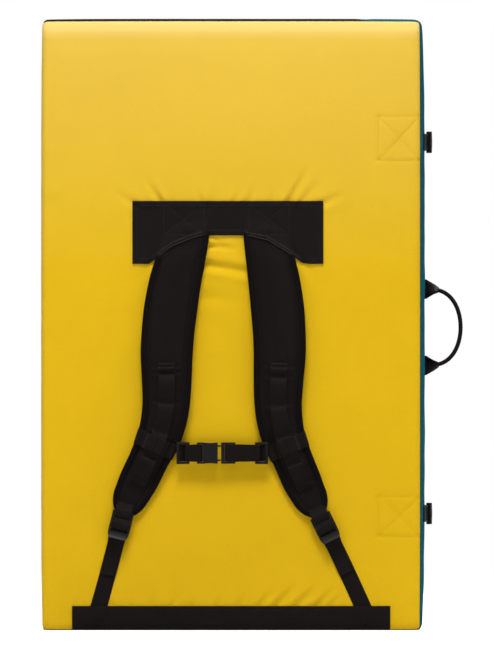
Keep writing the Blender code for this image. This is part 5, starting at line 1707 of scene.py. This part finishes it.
def make_lock_webbing(side):
    """Loop that ties a ladder lock to its strap, and the webbing threaded through it."""
    place = LOCKS[side]
    along = [sum(LOCK_STATIONS[:index]) for index in range(len(LOCK_STATIONS) + 1)]
    middle = LOCK_LEVEL + LOCK_BAR / 2
    bar_turn = LOCK_BAR / 2 + WEB_GAP + WEBBING / 2
    inner = STRAP_EDGE - TIE_DEPTH
    loop = [(run, inner + rise) for run, rise in TIE_BACK]
    loop += [(-0.0035, middle - bar_turn - 0.0002), (0.001, middle - bar_turn)]
    loop += turn_round(LOCK_TOP_BAR - 0.0008, middle, bar_turn, -80, 80, steps=10, reach=TIE_REACH)
    loop += [(0.001, middle + bar_turn), (-0.0025, middle + bar_turn - 0.0006)]
    loop += [(run, inner + rise) for run, rise in TIE_FRONT]
    webbing(f"{side}_lock_tie", path_frames(loop, place, FINE_STEP), f"{side}_strap", f"{side}_lock_loop",
            width=SLOT_WIDTH)

    grip = along[4] - WEB_GAP
    low_level = middle - bar_turn
    rest_level = WEBBING / 2 + WEB_GAP - STRAP_BASE
    fall = LOCK_LENGTH * 1.5
    step_up = WEBBING + WEB_GAP
    low_load = low_level - step_up - WEB_GAP / 2
    course = [(place.length + 0.030, rest_level - 0.0002), (place.length + 0.010, rest_level - 0.0002)]
    band_run = place.length - 0.004
    course += [(band_run - (band_run - fall) * step / 5, rest_level) for step in range(6)]
    course.append(((fall + along[6]) / 2, (rest_level + low_load) / 2))
    course += [(along[6], low_load), (along[5] - WEB_GAP, low_load), (grip + WEBBING, low_level),
               (grip, low_level)]
    course += turn_round(grip, middle, bar_turn, 270, 90, reach=GRIP_REACH)[1:]
    course += turn_round(along[5] - 2 * WEB_GAP, middle, bar_turn, 90, -30, steps=4)
    course.append((along[6] + 3 * WEB_GAP, low_level - WEB_GAP / 4))
    course.append((along[6] + WEBBING * 3, low_level - WEB_GAP / 2))
    course.append(((fall + along[6]) / 2 + WEBBING, (rest_level + low_load) / 2 + step_up))
    tail_end = (place.top.y - place.tail_z) / abs(place.down.y)
    course += [(fall + WEBBING, rest_level + step_up), (tail_end - 0.004, rest_level + step_up + 0.0004),
               (tail_end, rest_level + step_up + 0.0016)]
    frames = path_frames(course, place, STRIP_STEP)
    lock_foot = place(LOCK_LENGTH, 0, 0).z
    shares = [float(smoothstep((spot.z - lock_foot) / 0.008 + 1)) for spot, _, _ in frames]
    widths = [WEBBING_WIDTH + (SLOT_WIDTH - WEBBING_WIDTH) * share for share in shares]
    made = ribbon(f"{side}_adjuster_strip", frames, WEBBING_WIDTH, WEBBING, WEB, "webbing_black",
                  widths=widths)
    place(place.length - 0.01, 0, rest_level) + ORIGIN
    place(along[6], 0, rest_level) + ORIGIN
    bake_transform(made)
    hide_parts(f"{side}_adjuster_webbing")


# Sternum strap and closures
STERNUM_Z = 0.2909
STERNUM_LEVEL = 0.0072
BUCKLE_THICK = 0.0090
BUCKLE_BAR_THICK = 0.0036
BUCKLE_BAR = 0.0035
BUCKLE_LENGTH = 0.0340
BUCKLE_MOUTH_GAP = 0.0055
MALE_LENGTH = 0.0233
MALE_END_BAR = 0.0040
STERNUM_FEMALE_X = -0.0598
STERNUM_MALE_X = STERNUM_FEMALE_X + BUCKLE_LENGTH + BUCKLE_MOUTH_GAP
RING_LENGTH = 0.0215
RING_BAR = 0.0042
RING_THICK = 0.0038
RING_TOUCH = 0.0001
STERNUM_RINGS = {"left": (-0.0935, -0.0935 + RING_LENGTH), "right": (0.0567 - RING_LENGTH, 0.0567)}
MALE_BASE = 0.0060
MALE_SLOT = 0.0058
SLIDER_SLOT = 0.0274
FEMALE_REACH = 0.0057
MALE_REACH = 0.0051


def make_sternum_webbing():
    """The two webbing ends of the sternum strap, woven through their bars."""
    middle = STERNUM_LEVEL + BUCKLE_THICK / 2
    turn = RING_THICK / 2 + WEB_GAP + WEBBING / 2
    bar_turn = BUCKLE_BAR_THICK / 2 + WEB_GAP + WEBBING / 2
    low_level = middle - turn
    sink = turn + WEBBING

    def place(run, side, level):
        return lay(run, STERNUM_Z + side, level)

    left, right = STERNUM_RINGS["left"], STERNUM_RINGS["right"]
    left_bar = left[1] - RING_BAR + WEB_GAP
    left_far = STERNUM_FEMALE_X + BUCKLE_BAR - WEB_GAP
    path = [(left[0] + RING_BAR + RING_TOUCH, middle + WEBBING / 3), (left_bar - sink, low_level),
            (left_bar, low_level)]
    path += turn_round(left_far, middle, bar_turn, -90, 90, reach=FEMALE_REACH)
    path += turn_round(left_bar, middle, turn, 90, 155)
    frames = path_frames(path, place, FINE_STEP)
    webbing("sternum_left_strip", frames, "left_strap", "sternum_left_webbing",
            widths=sternum_widths(frames, STERNUM_FEMALE_X, left_bar))
    right_bar = right[0] + RING_BAR - WEB_GAP
    right_near = STERNUM_MALE_X + MALE_BASE + MALE_SLOT + WEB_GAP / 2
    path = [(right[1] - RING_BAR - RING_TOUCH, middle + WEBBING / 3), (right_bar + sink, low_level),
            (right_bar, low_level)]
    path += turn_round(right_near, middle, bar_turn, 270, 90, reach=MALE_REACH)
    path += turn_round(right_bar, middle, turn, 90, 25)
    frames = path_frames(path, place, FINE_STEP)
    strip = ribbon("sternum_right_strip", frames, WEBBING_WIDTH, WEBBING, WEB, "webbing_black",
                   widths=sternum_widths(frames, STERNUM_MALE_X + MALE_LENGTH, right_bar))
    place(right_bar - BEND_START, 0, middle) + ORIGIN
    place(STERNUM_MALE_X + MALE_LENGTH + BEND_PAST, 0, middle) + ORIGIN
    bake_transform(strip)
    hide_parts("sternum_right_webbing")


def sternum_widths(frames, wide_x, narrow_x):
    """Widths that fill the buckle's slot and clear the slider's narrower one."""
    shares = [clamp((place.x - narrow_x) / (wide_x - narrow_x)) for place, _, _ in frames]
    return [SLIDER_SLOT + (SLOT_WIDTH - SLIDER_SLOT) * share for share in shares]


CLOSURES = {"upper": 0.8010, "lower": 0.1910}
CLOSURE_FEMALE_Y = -0.0420
CLOSURE_END_DEPTH = 0.0810
CLOSURE_CLEAR = 0.0006
# The loose end: how far along in buckle thicknesses, and how high in turns of the bar
CLOSURE_ENDS = ((1.0, 0.9), (1.6, 0.55))


def side_place(half, height, depth, level):
    """Distance of the open gusset's surface from the pad's middle."""
    sign = -1 if half == "front" else 1
    return float(skin(sign, X_OPEN, height, depth, level)[0])


def make_closure_webbing(label, height):
    """Webbing of one closure on both halves, with its sewn ends."""
    middle = FACE_REACH + CLOSURE_CLEAR + WEBBING + BUCKLE_THICK / 2
    bar_turn = BUCKLE_BAR_THICK / 2 + WEB_GAP + WEBBING / 2
    plug_end = CLOSURE_FEMALE_Y + BUCKLE_LENGTH + BUCKLE_MOUTH_GAP + MALE_LENGTH
    ends = {"front": (CLOSURE_FEMALE_Y + BUCKLE_BAR / 2, -1), "rear": (plug_end - MALE_END_BAR / 2, 1)}
    for half, (bar_y, sign) in ends.items():
        start = sign * CLOSURE_END_DEPTH
        bend = bar_y + sign * (WEB_GAP + BUCKLE_THICK / 2)
        course = []
        for step in range(7):
            y = start + (bend - start) * step / 6
            touch = side_place(half, height, abs(y) - MID_GAP, WEB_GAP + WEBBING / 2)
            course.append((sign * y, touch + (middle - bar_turn - touch) * (step / 6) ** 2))
        bar_run = sign * bar_y
        course += turn_round(bar_run - WEB_GAP, middle, bar_turn, -90, -270)
        for run, rise in CLOSURE_ENDS:
            course.append((bend * sign + BUCKLE_THICK * run, middle + bar_turn * rise))

        def place(run, side, level, sign=sign):
            return Vector((level, sign * run, height + side))

        webbing(f"{label}_closure_{half}_strip", path_frames(course, place, STRIP_STEP), f"{half}_half",
                f"{label}_closure_{half}_webbing")


# Carry handle
HANDLE_BOW = 0.75
HANDLE_LOW_Z = 0.4343
HANDLE_HIGH_Z = 0.5597
HANDLE_REACH = 0.0585
HANDLE_WIDTH = 0.0312
HANDLE_ROOT = 0.0190
HANDLE_THIN = 0.0028
HANDLE_ROUND = 0.0070
HANDLE_NARROWS = 0.45
HANDLE_Y = -0.0120
HANDLE_PIVOT_OUT = 0.0030
HANDLE_STEPS = 240
TAB_FLARE = 0.0030
TAB_SUNK = 0.0010
TAB_PROUD = 0.0015
TAB_PAST = 0.0004
TAB_THICK = 0.0034
TAB_STEP = 0.0008


def make_handle():
    """Folded webbing handle with its two sewn tabs."""
    pivot_x = FACE_REACH + HANDLE_PIVOT_OUT
    middle = (HANDLE_LOW_Z + HANDLE_HIGH_Z) / 2
    rise = (HANDLE_HIGH_Z - HANDLE_LOW_Z) / 2
    reach = FACE_REACH + HANDLE_REACH - pivot_x
    course, frames, widths, thicks = [], [], [], []
    for step in range(HANDLE_STEPS + 1):
        turn = math.pi * (step / HANDLE_STEPS - 0.5)
        bow = max(0.0, math.cos(turn)) ** HANDLE_BOW
        course.append(Vector((pivot_x + reach * bow, HANDLE_Y, middle + rise * math.sin(turn))))
    for step, place in enumerate(course):
        run = (course[min(step + 1, HANDLE_STEPS)] - course[max(step - 1, 0)]).normalized()
        if step in (0, HANDLE_STEPS):
            run = Vector((1 if step == 0 else -1, 0, 0))
        out = (place.x - pivot_x) / HANDLE_ROOT
        thick = HANDLE_THIN + (HANDLE_ROUND - HANDLE_THIN) * min(out, 1)
        seen = max(HANDLE_WIDTH * (1 - 0.75 * out), thick)
        wide_here = HANDLE_WIDTH * (1 - HANDLE_NARROWS * min(out, 1))
        twist = math.acos(min(math.sqrt(seen ** 2 - thick ** 2) / wide_here, 1))
        flat = Vector((run.z, 0, -run.x))
        wide = flat * math.cos(twist) + Vector((0, 1, 0)) * math.sin(twist)
        frames.append((place, wide, run.cross(wide).normalized()))
        widths.append(wide_here)
        thicks.append(thick)
    for label, height in (("low", HANDLE_LOW_Z), ("high", HANDLE_HIGH_Z)):
        skin_x = side_place("front", height, -HANDLE_Y - MID_GAP, 0.0)
        path = [(skin_x - TAB_SUNK, 0.0), (skin_x + TAB_PROUD, 0.0), (pivot_x + TAB_PAST, 0.0)]

        def tab_place(run, side, level, height=height):
            return Vector((run, HANDLE_Y + level, height + side))

        rows = path_frames(path, tab_place, TAB_STEP)
        tapered = list(np.linspace(HANDLE_WIDTH + TAB_FLARE, HANDLE_WIDTH, len(rows)))
        webbing(f"handle_tab_{label}_web", rows, "front_half", f"handle_tab_{label}", thick=TAB_THICK,
                section=ROUND_SECTION, widths=tapered)
    webbing("carry_handle_webbing", frames, "handle", "side_handle", widths=widths, thicks=thicks,
            section=ROUND_SECTION)


HINGE_INSET = 0.035
HINGE_HALF = 0.025
HINGE_BEND = 0.010
HINGE_DEPTH = 0.006
HINGE_LEVEL = 0.0005
HINGE_WRINKLES = ((0.0003, 40, 30, 4.0),)


def make_hinge():
    """Fabric strip over the fold between the two spine faces."""
    vs = lines_between(HINGE_INSET, PAD_HEIGHT - HINGE_INSET, 0.010, EDGE_STEP)
    us = lines_between(-HINGE_HALF, HINGE_HALF, 0.0022, EDGE_STEP)

    def place(u, v, level):
        depth = max(abs(u) - MID_GAP, HINGE_DEPTH)
        half = -1 if u < 0 else 1
        base = float(skin(half, X_SPINE, v, depth, HINGE_LEVEL)[0])
        ripple = wrinkled(u, v, HINGE_WRINKLES)
        return Vector((base - level - ripple, u, v))

    strip = panel("hinge_strip_cloth", us, vs, place, WEBBING, YELLOW)
    start, end = (Vector((FOLD_X, bend, PAD_HEIGHT / 2)) + ORIGIN for bend in (-HINGE_BEND, HINGE_BEND))
    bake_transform(strip)
    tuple(start)
    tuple(end)
    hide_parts("fold_hinge_strip")


make_yoke()
make_band()
for strap_plan in STRAPS.values():
    make_strap(strap_plan)
for lock_side in LOCKS:
    make_lock_webbing(lock_side)
make_sternum_webbing()
for closure_label, closure_height in CLOSURES.items():
    make_closure_webbing(closure_label, closure_height)
make_handle()
make_hinge()
box_rows = []
for corner_a, corner_b in BOX_STITCHES.values():
    for row_start, row_end in box_lines(corner_a, corner_b):
        box_rows.append(surface_row(cover_place, row_start, row_end, level=0.0))
stitches("box_stitches", box_rows, YELLOW_THREAD, "front_half")
for node_name, moulding in frame["nodes"].items():
    if any(kind in node_name for kind in ("buckle", "latch_arm", "lock", "slider")):
        moulding.data.materials[0] = PLASTIC


# Stage, light, camera
AMBIENT = 0.25
FLOOR_LEVEL = -0.0004
FLOOR_GLOW = 0.72
VIEW_DISTANCE = 30.0
SENSOR = 36
LAMPS = (
    ("key", (-0.2, -2.3, 4.6), (0, -0.1, 0.6), (1.6, 1.2), 252),
    ("fill_left", (-2.4, -2.0, 1.0), (0, 0, 0.5), (1.4, 1.8), 7.5),
    ("fill_right", (2.4, -2.0, 1.0), (0, 0, 0.5), (1.4, 1.8), 7.5),
    ("back", (0.4, 2.3, 3.8), (0, 0.1, 0.5), (1.6, 1.2), 150),
)


def make_stage():
    """Pale floor and a white background for the camera, glossy and transmission rays."""
    bpy.ops.mesh.primitive_grid_add(x_subdivisions=8, y_subdivisions=8, size=14)
    floor = bpy.context.object
    floor.name = "studio_floor"
    floor.location = (0, 0, FLOOR_LEVEL)
    graph = Graph("studio_floor", Roughness=0.9, Specular_IOR_Level=0.0, Emission_Color=(1, 1, 1, 1))
    graph.link(graph.grey(graph.ramp(graph.noise(graph.place(), 6.0), 0.85, 0.87)), "Base Color")
    camera_ray = graph.add("ShaderNodeLightPath").outputs["Is Camera Ray"]
    graph.link(graph.math("MULTIPLY", camera_ray, FLOOR_GLOW), "Emission Strength")
    floor.data.materials.append(graph.material)
    world = bpy.data.worlds.new("studio")
    bpy.context.scene.world = world
    world.use_nodes = True
    sky = Nodes(world.node_tree)
    rays = sky.add("ShaderNodeLightPath").outputs
    seen = sky.math("MAXIMUM", rays["Is Camera Ray"], rays["Is Transmission Ray"])
    white = sky.math("MAXIMUM", seen, rays["Is Glossy Ray"])
    back = sky.tree.nodes["Background"]
    sky.tree.links.new(sky.ramp(white, AMBIENT, 1.0), back.inputs["Strength"])
    back.inputs["Color"].default_value = (1, 1, 1, 1)


def add_lamp(name, place, aim, size, energy):
    """Area lamp that looks at a point."""
    data = bpy.data.lights.new(name, "AREA")
    data.shape = "RECTANGLE"
    data.size, data.size_y = size
    data.energy = energy
    lamp = bpy.data.objects.new(name, data)
    bpy.context.scene.collection.objects.link(lamp)
    lamp.location = place
    lamp.rotation_euler = (Vector(aim) - Vector(place)).to_track_quat("-Z", "Y").to_euler()


def make_camera():
    """Camera square to the front face, at the photograph's scale."""
    middle_x, middle_z = at_pixel(PHOTO_SIZE[0] / 2, PHOTO_SIZE[1] / 2)
    face_y = ORIGIN.y - MID_GAP - HALF_DEPTH - FACE_CROWN
    data = bpy.data.cameras.new("camera")
    data.sensor_width = SENSOR
    data.lens = SENSOR * VIEW_DISTANCE / (PHOTO_SIZE[1] * PIXEL)
    data.clip_start = 0.1
    data.clip_end = 120
    camera = bpy.data.objects.new("camera", data)
    bpy.context.scene.collection.objects.link(camera)
    camera.location = (middle_x + ORIGIN.x, face_y - VIEW_DISTANCE, middle_z)
    camera.rotation_euler = (math.radians(90), 0, 0)
    bpy.context.scene.camera = camera


make_stage()
for lamp_plan in LAMPS:
    add_lamp(*lamp_plan)
make_camera()
bpy.context.scene.view_settings.view_transform = "Standard"
